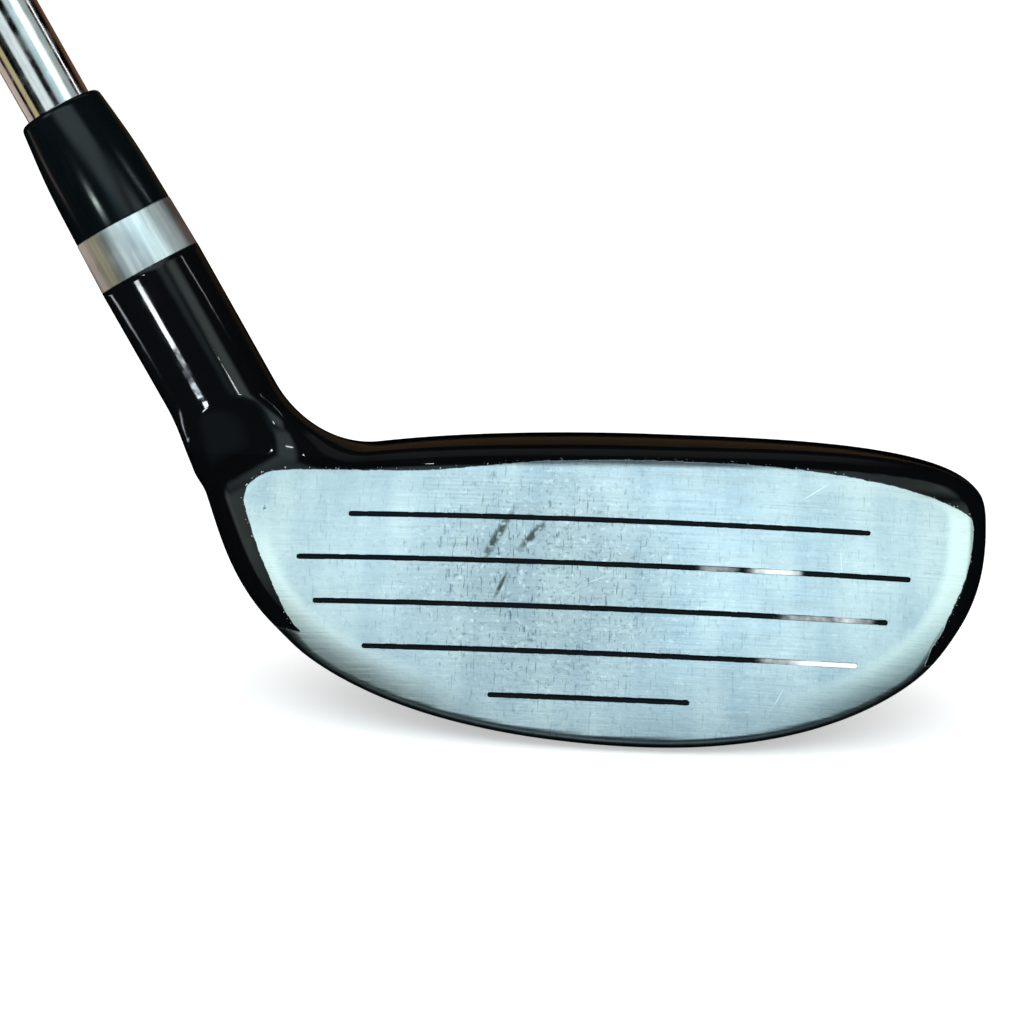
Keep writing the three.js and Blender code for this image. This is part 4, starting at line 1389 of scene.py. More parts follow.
@dataclass
class Head:
    """The welded head: body casting, face, crown and sole plates, weight plug and the paint in the lines."""

    form: HeadForm
    paint: PaintPlan
    body_sections: int = 170
    fan_sections: int = 80
    neck_sections: int = 30
    rays: int = 280
    face_margin: float = 5.0
    face_rebate: float = 2.8
    line_count: int = 5
    line_inset: float = 0.07  # how far the frame's fills stand inside their grooves
    line_under_crown: float = 10.35
    line_over_ground: float = 7.72
    sole_seam: float = 0.12
    map_span: float = 120.0  # the UV map is this wide, so that it holds the whole face
    hosel_from: float = 35.9  # the hosel is a piece of its own above this height
    hosel_to: float = -30.0  # and heelwards of this x
    bore_radius: float = 5.05
    bore_depth: float = 26.0
    clear: float = 5.0  # how far a drill starts above what it drills
    plug_x: float = -5.0
    plug_y: float = 23.0
    plug_radius: float = 6.5
    plug_top: float = 7.5
    key_radius: float = 2.4
    key_depth: float = 2.6
    key_point: tuple[float, float] = (1.6, 3.2)  # radius and depth where the recess's cone ends

    def lines(self) -> list[ScoreLine]:
        """The score lines from the top one down, at the places of the frame's own fills.

        Returns:
            The five lines.
        """
        # How far each line's fill turns near white, at places along x.
        worn = {
            2: (
                (6.0, 0), (8.0, 0.35), (11.5, 0.3), (13.5, 0.1),
                (15.2, 0.6), (17.0, 0.8), (20.0, 0.7), (21.8, 0),
            ),
            3: (
                (16.5, 0), (19.0, 0.35), (21.5, 0.45), (25.0, 0.35),
                (27.5, 0.55), (31.0, 0.35), (31.9, 0),
            ),
            4: ((14.5, 0), (16.2, 0.4), (20.0, 0.45), (21.8, 0.95), (28.6, 1.0)),
        }
        top = self.form.crown / math.cos(self.form.loft) - self.line_under_crown
        made = []
        for row in range(1, self.line_count + 1):
            low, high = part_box(f"line_fill_{row}")
            start = low.x / MM - self.line_inset
            end = high.x / MM + self.line_inset
            v = mix(top, self.line_over_ground, (row - 1) / (self.line_count - 1))
            made.append(ScoreLine(start, end, v, worn.get(row, ())))
        return made

    def build(self) -> list[bpy.types.Object]:
        """Makes every piece of the head.

        Returns:
            The finished pieces.
        """
        whole = self.whole()
        shell = copy_of(whole, "shell")
        hollow_rings = field_rings(self.form.cavity, self.form.cavity_spine(60), 96)
        hollow = mesh_object("hollow", *lofted(hollow_rings))
        cut(shell, hollow, Cut.AWAY)
        tools = self.plate_tools()
        pieces = {}
        for name, tool in tools.items():
            plate = copy_of(shell, name)
            pieces[name] = cut(plate, tool, Cut.COMMON)
            cut(shell, tool, Cut.AWAY)
        self.open_sole_seam(pieces["sole_plate_skin"])
        top = self.form.hosel_top
        bore = self.bar(self.bore_radius, top - self.bore_depth, top + self.clear)
        cut(shell, bore, Cut.AWAY)
        corner = (-BEYOND, -BEYOND, self.hosel_from)
        upper = mesh_object("upper", *block(corner, (self.hosel_to, BEYOND, BEYOND)))
        pieces["hosel_skin"] = cut(copy_of(shell, "hosel_skin"), upper, Cut.COMMON)
        cut(shell, upper, Cut.AWAY)
        discard(upper)
        shell.name = "head_body_skin"
        pieces["head_body_skin"] = shell
        fills = self.score(pieces["face_plate_skin"], shell)
        plug = self.plug(whole)
        discard(whole, hollow, bore, *tools.values())
        self.dress(pieces, fills, plug)
        return [*pieces.values(), *fills, plug]

    def whole(self) -> bpy.types.Object:
        """The head's outside as one closed skin.

        Returns:
            The skin.
        """
        spine = self.form.head_spine(self.body_sections, self.fan_sections, self.neck_sections)
        rings = field_rings(self.form.solid, spine, self.rays, crowd=0.62)
        skin = mesh_object("whole_head", *lofted(rings))
        ground = mesh_object("ground", *block((-BEYOND, -BEYOND, -BEYOND / 2), (BEYOND, BEYOND, 0)))
        cut(skin, ground, Cut.AWAY)
        discard(ground)
        return skin

    def plate_tools(self) -> dict[str, bpy.types.Object]:
        """Solids that part the face, crown and sole plates from the shell.

        Returns:
            Each solid, by the name of the plate that it parts.
        """
        form = self.form
        centre = (form.centre_x, form.centre_v)

        def head_edge(x: Array, v: Array) -> Array:
            """Distance to the head's side a little behind the face."""
            z = v * math.cos(form.loft) - form.sag(x, v) * math.sin(form.loft)
            return form.body(x, form.face_depth(x, z) + form.outline_depth, z)

        edge = inset(outline_of(head_edge, centre, 240), self.face_margin)
        hub = np.array(centre)
        scaled = [(hub + (edge - hub) * share) for share in (0.2, 0.45, 0.7, 0.88, 1.0)]
        back = [form.from_face(x, v, -self.face_rebate - form.sag(x, v)) for x, v in (r.T for r in scaled)]
        front = [form.from_face(x, v, 8.0) for x, v in (r.T for r in scaled[::-1])]
        face_tool = mesh_object("face_tool", *lofted([*back, *front]))
        crown_tool = self.upright_tool("crown_plate", 18.0, 60.0, 3.0)
        sole_tool = self.upright_tool("sole_plate", -5.0, 10.0, 2.6)
        return {"face_plate_skin": face_tool, "crown_plate_skin": crown_tool, "sole_plate_skin": sole_tool}

    def upright_tool(self, node: str, low: float, high: float, power: float) -> bpy.types.Object:
        """An upright prism whose rounded plan fills a plate's own box.

        Args:
            node: the plate's node.
            low: the prism's foot.
            high: its top.
            power: how square its plan is; 2 is round.

        Returns:
            The prism.
        """
        corner, opposite = (np.array(c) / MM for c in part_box(node))
        middle = (corner + opposite) / 2
        half = (opposite - corner) / 2 * 0.99
        turns = np.linspace(0, 2 * math.pi, 160, endpoint=False)
        x = middle[0] + half[0] * np.sign(np.cos(turns)) * np.abs(np.cos(turns)) ** (2 / power)
        y = middle[1] + half[1] * np.sign(np.sin(turns)) * np.abs(np.sin(turns)) ** (2 / power)
        rings = [np.stack([x, y, 0 * x + z], axis=-1) for z in (low, high)]
        return mesh_object(node + "_tool", *lofted(rings))

    def open_sole_seam(self, plate: bpy.types.Object) -> None:
        """Draws the sole plate in from its neighbour, so that its weld shows as a fine line.

        Args:
            plate: the sole plate.
        """
        points = points_of(plate.data)
        middle = (points.max(axis=0) + points.min(axis=0)) / 2
        half = (points.max(axis=0) - points.min(axis=0)) / 2
        shrink = 1 - self.sole_seam / half
        shrink[2] = 1.0
        plate.data.vertices.foreach_set("co", ((middle + (points - middle) * shrink) * MM).ravel())

    def bar(self, radius: float, start: float, end: float) -> bpy.types.Object:
        """A round bar along the shaft's axis."""
        return mesh_object("bar", *lofted(turned([(radius, start), (radius, end)], self.form, 96)))

    def score(self, plate: bpy.types.Object, body: bpy.types.Object) -> list[bpy.types.Object]:
        """Cuts the score lines in the steel and makes the paint in them.

        Args:
            plate: the face plate.
            body: the casting round it.

        Returns:
            The paint fills.
        """
        fills = []
        for row, line in enumerate(self.lines(), 1):
            groove = mesh_object("groove", *line.groove(self.form))
            cut(plate, groove, Cut.AWAY)
            cut(body, groove, Cut.AWAY)
            discard(groove)
            fill = mesh_object(f"line_fill_{row}_paint", *line.fill(self.form))
            x = points_of(fill.data)[:, 0]
            places, shares = zip(*(line.wear or ((0.0, 0.0),)))
            store(fill.data, "wear", np.interp(x, places, shares))
            fills.append(crisp(fill, 50))
        return fills

    def plug(self, whole: bpy.types.Object) -> bpy.types.Object:
        """The weight plug: flush with the sole, with a chamfer and a recess for a six-sided key.

        Args:
            whole: the head's outside, which gives the plug its foot.

        Returns:
            The plug.
        """
        r = self.plug_radius - self.sole_seam
        profile = [(r * 0.98, -3.0), (r, 0.5), (r, self.plug_top)]
        bar = mesh_object("plug_bar", *lofted(self.upright_rings(profile, 72)))
        plug = cut(copy_of(whole, "weight_plug_turned"), bar, Cut.COMMON)
        recess = [(self.key_radius, -3.0), (self.key_radius, self.key_depth), self.key_point]
        key = mesh_object("key", *lofted(self.upright_rings(recess, 6)))
        cut(plug, key, Cut.AWAY)
        discard(bar, key)
        return crisp(plug, 30)

    def upright_rings(self, profile: list[tuple[float, float]], sides: int) -> Rings:
        """Rings round the weight plug's own upright axis.

        Args:
            profile: radius and height of each ring.
            sides: points in each ring.

        Returns:
            The rings.
        """
        turns = np.linspace(0, 2 * math.pi, sides, endpoint=False)
        ring = np.stack([np.cos(turns), np.sin(turns), 0 * turns], axis=-1)
        return [ring * [r, r, 1] + [self.plug_x, self.plug_y, z] for r, z in profile]

    def dress(
        self, pieces: dict[str, bpy.types.Object], fills: list[bpy.types.Object], plug: bpy.types.Object
    ) -> None:
        """Gives the head's pieces their numbers, normals and finishes, and ties them to the frame.

        Args:
            pieces: the welded pieces, by name.
            fills: the paint in the score lines.
            plug: the weight plug.
        """
        steel = MaskedHeadSteel(form=self.form).material()
        slots = {
            "head_body_skin": "black_paint",
            "hosel_skin": "black_paint",
            "face_plate_skin": "satin_steel",
            "crown_plate_skin": "black_paint",
            "sole_plate_skin": "sole_steel",
        }
        for name, piece in pieces.items():
            points = points_of(piece.data)
            store(piece.data, "paint_mm", self.paint.paint_distance(points))
            store(piece.data, "sole_mm", self.paint.sole_distance(points))
            # rim: where the painted highlight goes.
            store(piece.data, "rim", self.paint.side_highlight_share(points))
            self.shade_by_form(piece)
            self.map_face(piece)
            node = "head_body" if name == "hosel_skin" else name.removesuffix("_skin")
            settle(piece, steel, slots[name], node)
        enamel = LinePaint().material()
        for row, fill in enumerate(fills, 1):
            settle(fill, enamel, "line_paint", f"line_fill_{row}")
        settle(plug, PLUG_TUNGSTEN.material(), "tungsten", "weight_plug")

    def shade_by_form(self, piece: bpy.types.Object) -> None:
        """Shades the outside with the form's own normals, so that cut edges leave no mark; the rest flat.

        Args:
            piece: the piece.
        """
        mesh = piece.data
        points = points_of(mesh)
        outside = np.abs(self.form.grounded(*points.T)) < 0.03
        normals = self.form.normals(points)
        corners = np.empty(len(mesh.loops), np.int32)
        mesh.loops.foreach_get("vertex_index", corners)
        sizes = np.empty(len(mesh.polygons), np.int32)
        mesh.polygons.foreach_get("loop_total", sizes)
        flat = np.empty(len(mesh.polygons) * 3, np.float32)
        mesh.polygons.foreach_get("normal", flat)
        face_of = np.repeat(np.arange(len(sizes)), sizes)
        face_normals = flat.reshape(-1, 3)[face_of]
        agree = np.einsum("ij,ij->i", face_normals, normals[corners])
        inside_share = np.bincount(face_of, ~outside[corners] | (agree < 0.6), len(sizes))[face_of]
        chosen = np.where((inside_share > 0)[:, None], face_normals, normals[corners])
        mesh.normals_split_custom_set(chosen.tolist())

    def map_face(self, piece: bpy.types.Object) -> None:
        """A UV map whose first direction runs along the brush lines, from heel to toe.

        Args:
            piece: the piece.
        """
        mesh = piece.data
        x, v, _ = self.form.face_frame(*points_of(mesh).T)
        corners = np.empty(len(mesh.loops), np.int32)
        mesh.loops.foreach_get("vertex_index", corners)
        layer = mesh.uv_layers.new(name="face_map")
        uv = np.stack([x[corners] / self.map_span + 0.5, v[corners] / self.map_span], axis=-1)
        layer.data.foreach_set("uv", uv.ravel().astype(np.float32))


def block(low: tuple[float, float, float], high: tuple[float, float, float]) -> tuple[Array, list[list[int]]]:
    """A plain cutting block between two corners."""
    ring = np.array([(low[0], low[1]), (high[0], low[1]), (high[0], high[1]), (low[0], high[1])], float)
    return lofted([np.column_stack([ring, np.full(4, float(z))]) for z in (low[2], high[2])])


def turned(profile: list[tuple[float, float]], form: HeadForm, sides: int) -> Rings:
    """Rings round the shaft's axis.

    Args:
        profile: radius and distance along the axis of each ring.
        form: the head, which sets the axis.
        sides: points in each ring.

    Returns:
        The rings.
    """
    turns = np.linspace(0, 2 * math.pi, sides, endpoint=False)[:, None]
    across = np.array([math.sin(form.lie), 0.0, math.cos(form.lie)])
    around = np.cos(turns) * across + np.sin(turns) * np.array([0.0, 1.0, 0.0])
    return [form.axis_point(along) + radius * around for radius, along in profile]


def settle(piece: bpy.types.Object, material: bpy.types.Material, slot: str, *nodes: str) -> None:
    """Dresses a piece and ties it to the frame.

    Args:
        piece: the finished piece.
        material: its finish.
        slot: the record's material slot; not used.
        nodes: the CAD nodes that it stands for.
    """
    piece.data.materials.clear()
    piece.data.materials.append(material)
    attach(piece, BODY)
    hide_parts(*nodes)
    LOG.info("made %s: %d faces, for %s", piece.name, len(piece.data.polygons), ", ".join(nodes))


# ---------------------------------------------------------------- pieces on the shaft


def rounded_profile(corners: list[tuple[float, float, float]], steps: int = 5) -> list[tuple[float, float]]:
    """A closed profile with each corner rounded.

    Args:
        corners: radius, distance along the axis, and how far the round reaches from the corner.
        steps: points in each round.

    Returns:
        Radius and distance of each point.
    """
    made = []
    for k, (radius, along, reach) in enumerate(corners):
        here = np.array([radius, along])
        if reach == 0:
            made.append(tuple(here))
            continue
        before = unit(np.array(corners[k - 1][:2]) - here) * reach + here
        after = unit(np.array(corners[(k + 1) % len(corners)][:2]) - here) * reach + here
        for t in np.linspace(0, 1, steps):
            made.append(tuple((1 - t) ** 2 * before + 2 * t * (1 - t) * here + t**2 * after))
    return made


@dataclass
class HoselTrim:
    """The bare band and the ferrule that slide down the shaft onto the hosel."""

    form: HeadForm
    band_length: float = 7.5
    band_foot: float = 7.58
    band_top: float = 7.35
    ferrule_length: float = 17.7
    ferrule_foot: float = 7.3
    ferrule_waist: float = 7.0
    ferrule_shoulder: float = 5.95
    bore: float = 4.76
    sides: int = 144

    def build(self) -> list[bpy.types.Object]:
        """Makes the band and the ferrule.

        Returns:
            The two pieces.
        """
        low = self.form.hosel_top
        middle = low + self.band_length
        top = middle + self.ferrule_length
        band = [
            (self.bore, low, 0), (self.band_foot, low, 0.15), (self.band_top, middle, 0.2),
            (self.bore, middle, 0),
        ]
        band_piece = self.tube("hosel_band_turned", rounded_profile(band))
        ferrule = [
            (self.bore, middle, 0), (self.ferrule_foot, middle, 0.12),
            (self.ferrule_waist, (middle + top) / 2, 4.0),
            (self.ferrule_shoulder, top, 0.9), (self.bore, top, 0.08),
        ]
        ferrule_piece = self.tube("ferrule_turned", rounded_profile(ferrule, 8))
        settle(band_piece, BAND_ALUMINIUM.material(), "band_steel", "hosel_band")
        settle(ferrule_piece, FERRULE_PLASTIC.material(), "ferrule_plastic", "ferrule")
        return [band_piece, ferrule_piece]

    def tube(self, name: str, profile: list[tuple[float, float]]) -> bpy.types.Object:
        """A turned piece with a bore."""
        return crisp(mesh_object(name, *lofted(turned(profile, self.form, self.sides), Ends.LOOP)))


@dataclass
class Shaft:
    """The stepped steel tube and the plain band of vinyl round it."""

    form: HeadForm
    tip_radius: float = 4.7
    butt_radius: float = 7.62
    wall: float = 0.42
    tip_length: float = 200.0
    steps: int = 14
    step_length: float = 38.1
    ramp: float = 1.0
    tip_end: float = 44.9
    butt_end: float = 1008.7
    label_step: int = 8
    label_inset: float = 3.0
    label_thickness: float = 0.12
    slip: float = 0.06
    sides: int = 96

    def rise(self) -> float:
        """How much wider each step is."""
        return (self.butt_radius - self.tip_radius) / self.steps

    def outside(self) -> list[tuple[float, float]]:
        """The stepped outside, each step swaged over a short cone with soft ends.

        Returns:
            Radius and distance along the axis of each step.
        """
        made = [(self.tip_radius - 0.15, self.tip_end), (self.tip_radius, self.tip_end + 0.4)]
        for step in range(self.steps):
            along = self.tip_end + self.tip_length + step * self.step_length
            radius = self.tip_radius + step * self.rise()
            for share in (0.0, 0.15, 0.5, 0.85, 1.0):
                risen = self.rise() * float(smooth_ramp(0, 1, share))
                made.append((radius + risen, along + self.ramp * share))
        return [*made, (self.butt_radius, self.butt_end)]

    def build(self) -> list[bpy.types.Object]:
        """Makes the tube and its label.

        Returns:
            The two pieces.
        """
        last = self.tip_end + self.tip_length + (self.steps - 1) * self.step_length
        inside = [
            (self.butt_radius - self.wall, self.butt_end),
            (self.butt_radius - self.wall, last + self.step_length),
            (self.tip_radius - self.wall, self.tip_end + self.tip_length),
            (self.tip_radius - self.wall, self.tip_end),
        ]
        rings = turned([*self.outside(), *inside], self.form, self.sides)
        tube = crisp(mesh_object("shaft_tube", *lofted(rings, Ends.LOOP)), 40)
        settle(tube, SHAFT_CHROME.material(), "shaft_chrome", "shaft")
        return [tube, self.label()]

    def label(self) -> bpy.types.Object:
        """The vinyl band, with three shallow ribs pressed in it.

        Returns:
            The label.
        """
        start = self.tip_end + self.tip_length + (self.label_step - 1) * self.step_length
        low = start + self.ramp + self.label_inset
        high = start + self.step_length - self.label_inset
        inner = self.tip_radius + self.label_step * self.rise() + self.slip
        outer = inner + self.label_thickness
        profile = [(inner, low), (outer - 0.05, low), (outer, low + 0.15)]
        for share in (0.1, 0.14, 0.86, 0.9):
            along = mix(low, high, share)
            profile += [(outer, along - 0.2), (outer - 0.05, along), (outer, along + 0.2)]
        profile += [(outer, high - 0.15), (outer - 0.05, high), (inner, high)]
        piece = mesh_object("shaft_label_band", *lofted(turned(profile, self.form, self.sides), Ends.LOOP))
        settle(crisp(piece, 30), LABEL_VINYL.material(), "label_vinyl", "shaft_label")
        return piece


@dataclass
class Grip:
    """The moulded sleeve and its end cap."""

    form: HeadForm
    club_length: float = 1016.0
    length: float = 267.0
    bore: float = 7.89
    mouth: float = 8.9
    butt: float = 13.0
    lip: float = 9.4
    lip_length: float = 4.0
    butt_end: float = 1008.7
    cap_length: float = 7.0
    cap_radius: float = 13.4
    vent: float = 1.5
    groove_depth: float = 0.35
    groove_pitch: float = 5.2
    groove_starts: int = 9
    sides: int = 180

    def build(self) -> list[bpy.types.Object]:
        """Makes the sleeve and the cap.

        Returns:
            The two pieces.
        """
        start = self.club_length - self.length
        body_from = start + self.lip_length + 1.5
        body = np.linspace(body_from, self.butt_end - 0.4, 380)
        radius = mix(self.mouth, self.butt, (body - body_from) / (self.butt_end - body_from))
        profile = [
            (self.bore, start), (self.lip - 0.8, start), (self.lip - 0.25, start + 0.25),
            (self.lip, start + 0.8), (self.lip, start + self.lip_length), (self.mouth + 0.1, body_from - 0.3),
        ]
        end = [(self.butt - 0.4, self.butt_end), (self.bore, self.butt_end)]
        rings = turned([*profile, *zip(radius, body), *end], self.form, self.sides)
        sleeve_rings = [self.pressed(ring, k - len(profile), body) for k, ring in enumerate(rings)]
        sleeve = crisp(mesh_object("grip_sleeve_moulded", *lofted(sleeve_rings, Ends.LOOP)), 50)
        settle(sleeve, GRIP_RUBBER.material(), "grip_rubber", "grip_sleeve")
        cap = self.cap()
        settle(cap, CAP_RUBBER.material(), "cap_rubber", "grip_cap")
        return [sleeve, cap]

    def pressed(self, ring: Array, row: int, body: Array) -> Array:
        """A ring of the sleeve with its pattern of crossing grooves pressed in, away from its two ends.

        Args:
            ring: the plain ring.
            row: its number among the rings of the patterned part.
            body: distance along the axis of each of those.

        Returns:
            The pressed ring.
        """
        if not 0 <= row < len(body):
            return ring
        along = body[row]
        middle = self.form.axis_point(along)
        turns = np.linspace(0, 2 * math.pi, self.sides, endpoint=False)
        phase = 2 * math.pi * along / (self.groove_pitch * self.groove_starts)
        left = np.abs(np.sin((turns + phase) * self.groove_starts / 2))
        right = np.abs(np.sin((turns - phase) * self.groove_starts / 2))
        groove = 1 - smooth_ramp(0.08, 0.3, np.minimum(left, right))
        begun = smooth_ramp(body[0] + 6, body[0] + 9, along)
        ended = smooth_ramp(body[-1] - 12, body[-1] - 9, along)
        return ring - unit(ring - middle) * (groove * begun * (1 - ended) * self.groove_depth)[:, None]

    def cap(self) -> bpy.types.Object:
        """The end cap, with its vent hole and a moulded ring on its end.

        Returns:
            The cap.
        """
        low = self.club_length - self.cap_length
        top = self.club_length
        radius = self.cap_radius
        corners = [
            (self.vent, low, 0), (radius - 0.4, low, 0), (radius, low + 1.5, 0.5), (radius, top, 1.4),
            (radius * 0.72, top, 0.2), (radius * 0.69, top - 0.4, 0.15), (radius * 0.64, top - 0.4, 0.15),
            (radius * 0.61, top, 0.2), (self.vent, top, 0.3),
        ]
        rings = turned(rounded_profile(corners), self.form, self.sides)
        return crisp(mesh_object("grip_cap_moulded", *lofted(rings, Ends.LOOP)), 40)


# ---------------------------------------------------------------- studio


@dataclass(frozen=True)
class Panel:
    """A soft-edged light panel that faces the head, set by where it hangs and by the light it gives back."""

    name: str
    azimuth: float  # degrees from the way the face looks, towards the toe
    elevation: float
    width: float  # metres
    height: float
    radiance: float
    colour: str = "#FFFFFF"
    roll: float = 0.0  # degrees, about its own line to the head
    distance: float = 0.6
    softness: float = 0.5  # share of its half width over which it fades out
    only: tuple[str, ...] = ()  # the pieces that it lights alone, as a flag of black cloth makes it do

    def build(self, target: Vector) -> bpy.types.Object:
        """Hangs the panel.

        Args:
            target: what it faces, in metres.

        Returns:
            The panel's lamp.
        """
        light = bpy.data.lights.new(self.name, "AREA")
        light.shape = "RECTANGLE"
        light.size = self.width
        light.size_y = self.height
        light.energy = self.radiance * math.pi * self.width * self.height
        light.color = linear(self.colour)[:3]
        self.fade(light)
        turn, lift = math.radians(self.azimuth), math.radians(self.elevation)
        away = Vector((math.sin(turn) * math.cos(lift), -math.cos(turn) * math.cos(lift), math.sin(lift)))
        holder = bpy.data.objects.new(self.name, light)
        spin = Matrix.Rotation(math.radians(self.roll), 4, "Z")
        aim = away.to_track_quat("Z", "Y").to_matrix().to_4x4()
        holder.matrix_world = Matrix.Translation(target + away * self.distance) @ aim @ spin
        holder.visible_camera = False
        bpy.context.scene.collection.objects.link(holder)
        return holder

    def fade(self, light: bpy.types.Light) -> None:
        """Fades the panel towards its edges, as a diffuser in front of a lamp does.

        Args:
            light: the panel's lamp.
        """
        light.use_nodes = True
        tree = light.node_tree
        place = add_node(tree, "NewGeometry", {}, "Parametric")
        fades = []
        for axis in (0, 1):
            across = add_node(tree, "SeparateXYZ", {0: place}, axis)
            for low, high in ((0.0, self.softness / 2), (1.0, 1 - self.softness / 2)):
                edge = {0: across, 1: low, 2: high}
                fades.append(add_node(tree, "MapRange", edge, interpolation_type="SMOOTHSTEP"))
        strength = fades[0]
        for fade in fades[1:]:
            strength = add_node(tree, "Math", {0: strength, 1: fade}, operation="MULTIPLY")
        tree.links.new(strength, tree.nodes["Emission"].inputs["Strength"])


@dataclass
class Studio:
    """Pale floor, even white room light for matt surfaces, and panels for the gloss."""

    target: tuple[float, float, float] = (-18.74, -6.2, 30.6)
    dip: float = math.radians(11.5)
    yaw: float = math.radians(-3.0)
    tilt: float = math.radians(1.531)
    distance: float = 300.0
    lens: float = 77.34
    sensor: float = 36.0
    floor_size: float = 6.0  # metres
    fibre: float = 10 / 9  # clumps of paper fibre, drawn coarser than real ones so that they show
    glow: float = 0.45  # how much of the floor's light comes from below

    def build(self) -> None:
        """Sets up the camera, the floor and the lights."""
        self.camera()
        self.floor()
        self.world()
        head = Vector(self.target) * MM
        for panel in PANELS:
            light = panel.build(head)
            if panel.only:
                lit = bpy.data.collections.new(panel.name)
                light.light_linking.receiver_collection = lit
                for name in panel.only:
                    lit.objects.link(bpy.data.objects[name])
        settings = bpy.context.scene.view_settings
        settings.view_transform = "Standard"
        settings.look = "None"

    def camera(self) -> None:
        """A camera a forearm away, looking a little down on the face."""
        forward = Vector((
            math.sin(self.yaw) * math.cos(self.dip),
            math.cos(self.yaw) * math.cos(self.dip),
            -math.sin(self.dip),
        ))
        level = forward.cross(Vector((0, 0, 1))).normalized()
        up = level.cross(forward)
        right = level * math.cos(self.tilt) + up * math.sin(self.tilt)
        top = up * math.cos(self.tilt) - level * math.sin(self.tilt)
        data = bpy.data.cameras.new("camera")
        data.lens = self.lens
        data.sensor_width = self.sensor
        data.clip_start = 0.01
        holder = bpy.data.objects.new("camera", data)
        place = (Vector(self.target) - forward * self.distance) * MM
        holder.matrix_world = Matrix.Translation(place) @ Matrix((right, top, -forward)).transposed().to_4x4()
        bpy.context.scene.collection.objects.link(holder)
        bpy.context.scene.camera = holder

    def floor(self) -> None:
        """A plain pale floor of matt uncoated paper, lit from below as a light table is: an even, soft white
        with the faintest fibre. Gloss doesn't mirror it.
        """
        half = self.floor_size / 2 / MM
        ring = np.array([(-half, -half, 0), (half, -half, 0), (half, half, 0), (-half, half, 0)], float)
        mesh = bpy.data.meshes.new("floor")
        mesh.from_pydata((ring * MM).tolist(), [], [(0, 1, 2, 3)])
        plane = bpy.data.objects.new("floor", mesh)
        bpy.context.scene.collection.objects.link(plane)
        s = Shader("pale_matt_paper")
        place = s.add("TexCoord", {}, "Object")
        fibre = s.add("TexNoise", {"Vector": place, "Scale": 1 / (self.fibre * MM), "Detail": 3.0})
        colour = s.add("Mix", {0: fibre, 6: linear("#D8D8D8"), 7: linear("#E4E4E4")}, 2, data_type="RGBA")
        surface = {"Base Color": colour, "Roughness": 0.9, "Specular IOR Level": 0.1,
                   "Emission Color": (1, 1, 1, 1), "Emission Strength": self.glow}
        mesh.materials.append(s.finish(s.add("BsdfPrincipled", surface)))
        plane.visible_glossy = False
        plane.visible_shadow = False

    def world(self) -> None:
        """White all round for the camera and matt surfaces; gloss sees only the panels."""
        world = bpy.data.worlds.new("room")
        world.use_nodes = True
        world.node_tree.nodes["Background"].inputs["Color"].default_value = (1, 1, 1, 1)
        world.node_tree.nodes["Background"].inputs["Strength"].default_value = 1.0
        world.cycles_visibility.glossy = False
        bpy.context.scene.world = world


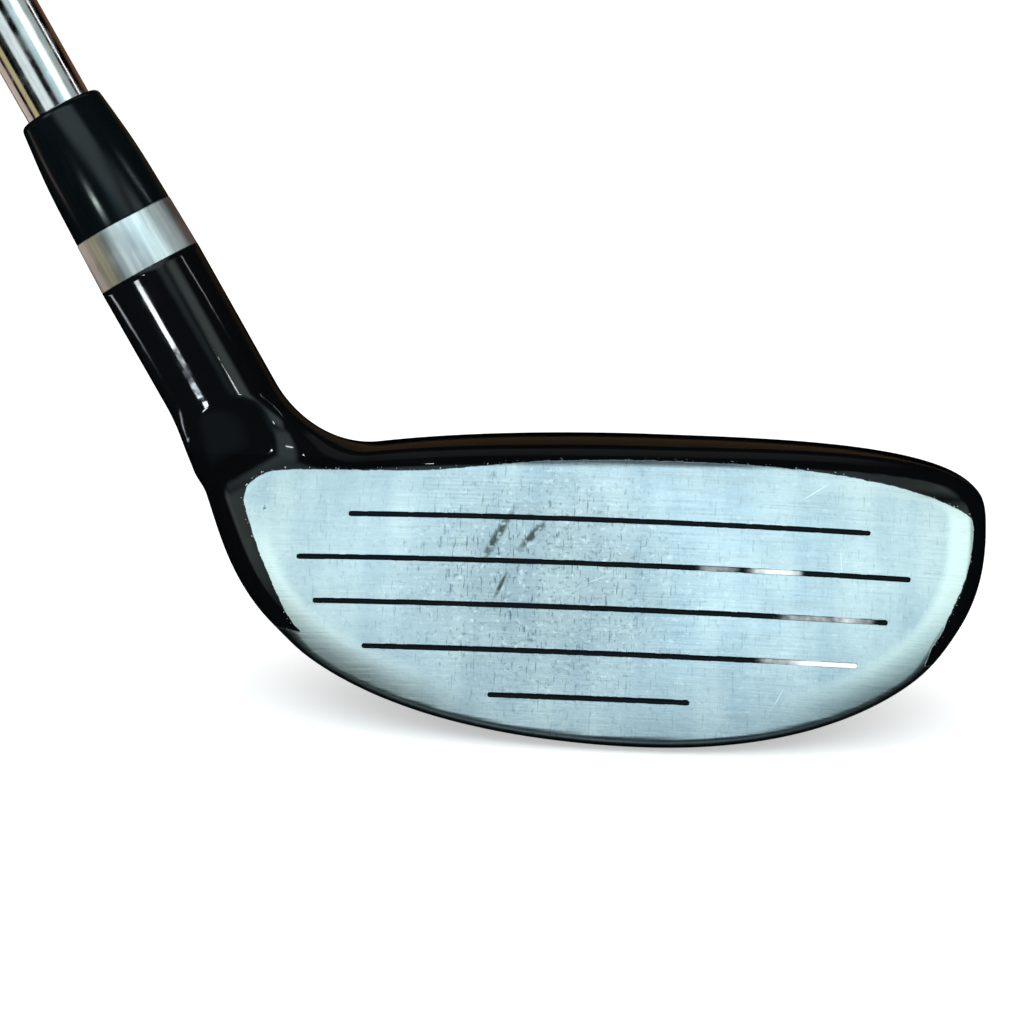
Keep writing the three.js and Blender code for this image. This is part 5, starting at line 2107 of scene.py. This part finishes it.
HOSEL = ("hosel_skin",)
FERRULE = ("ferrule_turned",)
TRIM = ("hosel_band_turned", "shaft_tube")
PANELS = [
    Panel("key_tent", 0, 34, 1.2, 0.62, 2.35, "#DDF3FA", distance=0.8, softness=0.6),
    Panel("toe_tent", 52, 27, 0.36, 0.34, 2.6, "#EAFFFA", softness=0.8),
    Panel("heel_tent", -52, 27, 0.36, 0.34, 2.6, "#EAFFFA", softness=0.8),
    Panel("front_fill", 38, 14, 0.55, 0.22, 0.6, "#8FD8EC", softness=1.0),
    Panel("back_wall", 180, 20, 1.8, 0.45, 0.16, "#B8946A", distance=1.0),
    Panel("overhead", 180, 78, 0.9, 0.6, 0.3, distance=0.9),
    Panel("below_front", 0, -35, 1.2, 0.4, 0.3, "#C8E8F0", softness=0.8),
    Panel(
        "neck_glint", -28.0, -8.8, 0.105, 0.036, 90.0, "#F2FBFF", 26, distance=0.51, softness=0.35, only=HOSEL
    ),
    Panel(
        "neck_smear", -27.5, -11.8, 0.05, 0.03, 7.0, "#3A78C8", 26, distance=0.51, softness=1.0, only=HOSEL
    ),
    Panel(
        "neck_patch", -29.6, -14.8, 0.14, 0.026, 80.0, "#E8F6FF", 26, distance=0.51, softness=0.5, only=HOSEL
    ),
    Panel("left_rim", -106, -22, 0.02, 0.24, 7.0, "#E8F4FF", 70, distance=0.52, softness=0.6, only=HOSEL),
    Panel("right_rim", 90, 38, 0.012, 0.12, 12.0, "#FFFFFF", 60, distance=0.48, softness=0.4, only=HOSEL),
    Panel("spark_right", 42, 21, 0.02, 0.05, 70.0, "#FFFFFF", 60, softness=0.4, only=HOSEL),
    Panel("spark_top", -4, 40, 0.02, 0.16, 70.0, "#FFFFFF", 10, softness=0.4, only=HOSEL),
    Panel("spark_left", -31, 57, 0.02, 0.02, 90.0, softness=0.3, only=HOSEL),
    Panel("spark_low", -11, 8, 0.03, 0.03, 90.0, softness=0.3, only=HOSEL),
    Panel(
        "ferrule_spot", -26.5, 0.5, 0.13, 0.03, 60.0, "#E8FFF8", 26, distance=0.52, softness=0.8, only=FERRULE
    ),
    Panel("ferrule_rim", 88, 44, 0.012, 0.16, 14.0, "#F0FFFF", 60, distance=0.48, softness=0.4, only=FERRULE),
    Panel(
        "ferrule_edge", -100, -12, 0.05, 0.3, 1.6, "#E8D0C0", 60, distance=0.52, softness=0.8, only=FERRULE
    ),
    Panel("ferrule_broad", 8, 14, 0.3, 0.3, 0.8, "#A8F0FF", distance=0.6, softness=0.8, only=FERRULE),
    Panel("trim_beige", -118, -18, 0.36, 0.6, 0.8, "#F0D8CC", 20, softness=0.2, only=TRIM),
    Panel("trim_yellow", -74, -20, 0.24, 0.6, 0.8, "#E8D8A8", 20, softness=0.3, only=TRIM),
    Panel("trim_bright", -20, -1, 0.44, 0.6, 1.15, "#F0FCFF", 30, softness=0.3, only=TRIM),
    Panel("trim_grey", 54, 30, 0.95, 0.7, 0.72, "#DCE8E8", softness=0.2, only=TRIM),
    Panel("trim_white", 114, 34, 0.07, 0.5, 2.5, "#FFFFFF", only=TRIM),
    Panel("trim_rust", 165, 5, 0.6, 0.5, 0.2, "#B86848", only=TRIM),
]


# ---------------------------------------------------------------- hidden pieces


def dress_hidden_nodes() -> None:
    """Gives the frame's own inner pieces their real finishes. Each keeps its CAD shape."""
    finishes = {"hosel_epoxy": EPOXY, "tip_plug": TIP_BRASS, "damping_resin": HOT_MELT, "grip_tape": TAPE}
    for name, finish in finishes.items():
        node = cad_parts[name]
        node.data.materials.clear()
        node.data.materials.append(finish.material())
        LOG.info("dressed %s", name)


def main() -> None:
    """Builds the club's assemblies round the frame, then the studio."""
    logging.basicConfig(level=logging.INFO, format="%(name)s: %(message)s")
    form = HeadForm()
    for assembly in (Head(form, PaintPlan(form)), HoselTrim(form), Shaft(form), Grip(form)):
        pieces = assembly.build()
        LOG.info("%s: %d pieces", type(assembly).__name__, len(pieces))
    Studio().build()
    dress_hidden_nodes()


if __name__ == "__main__":
    main()
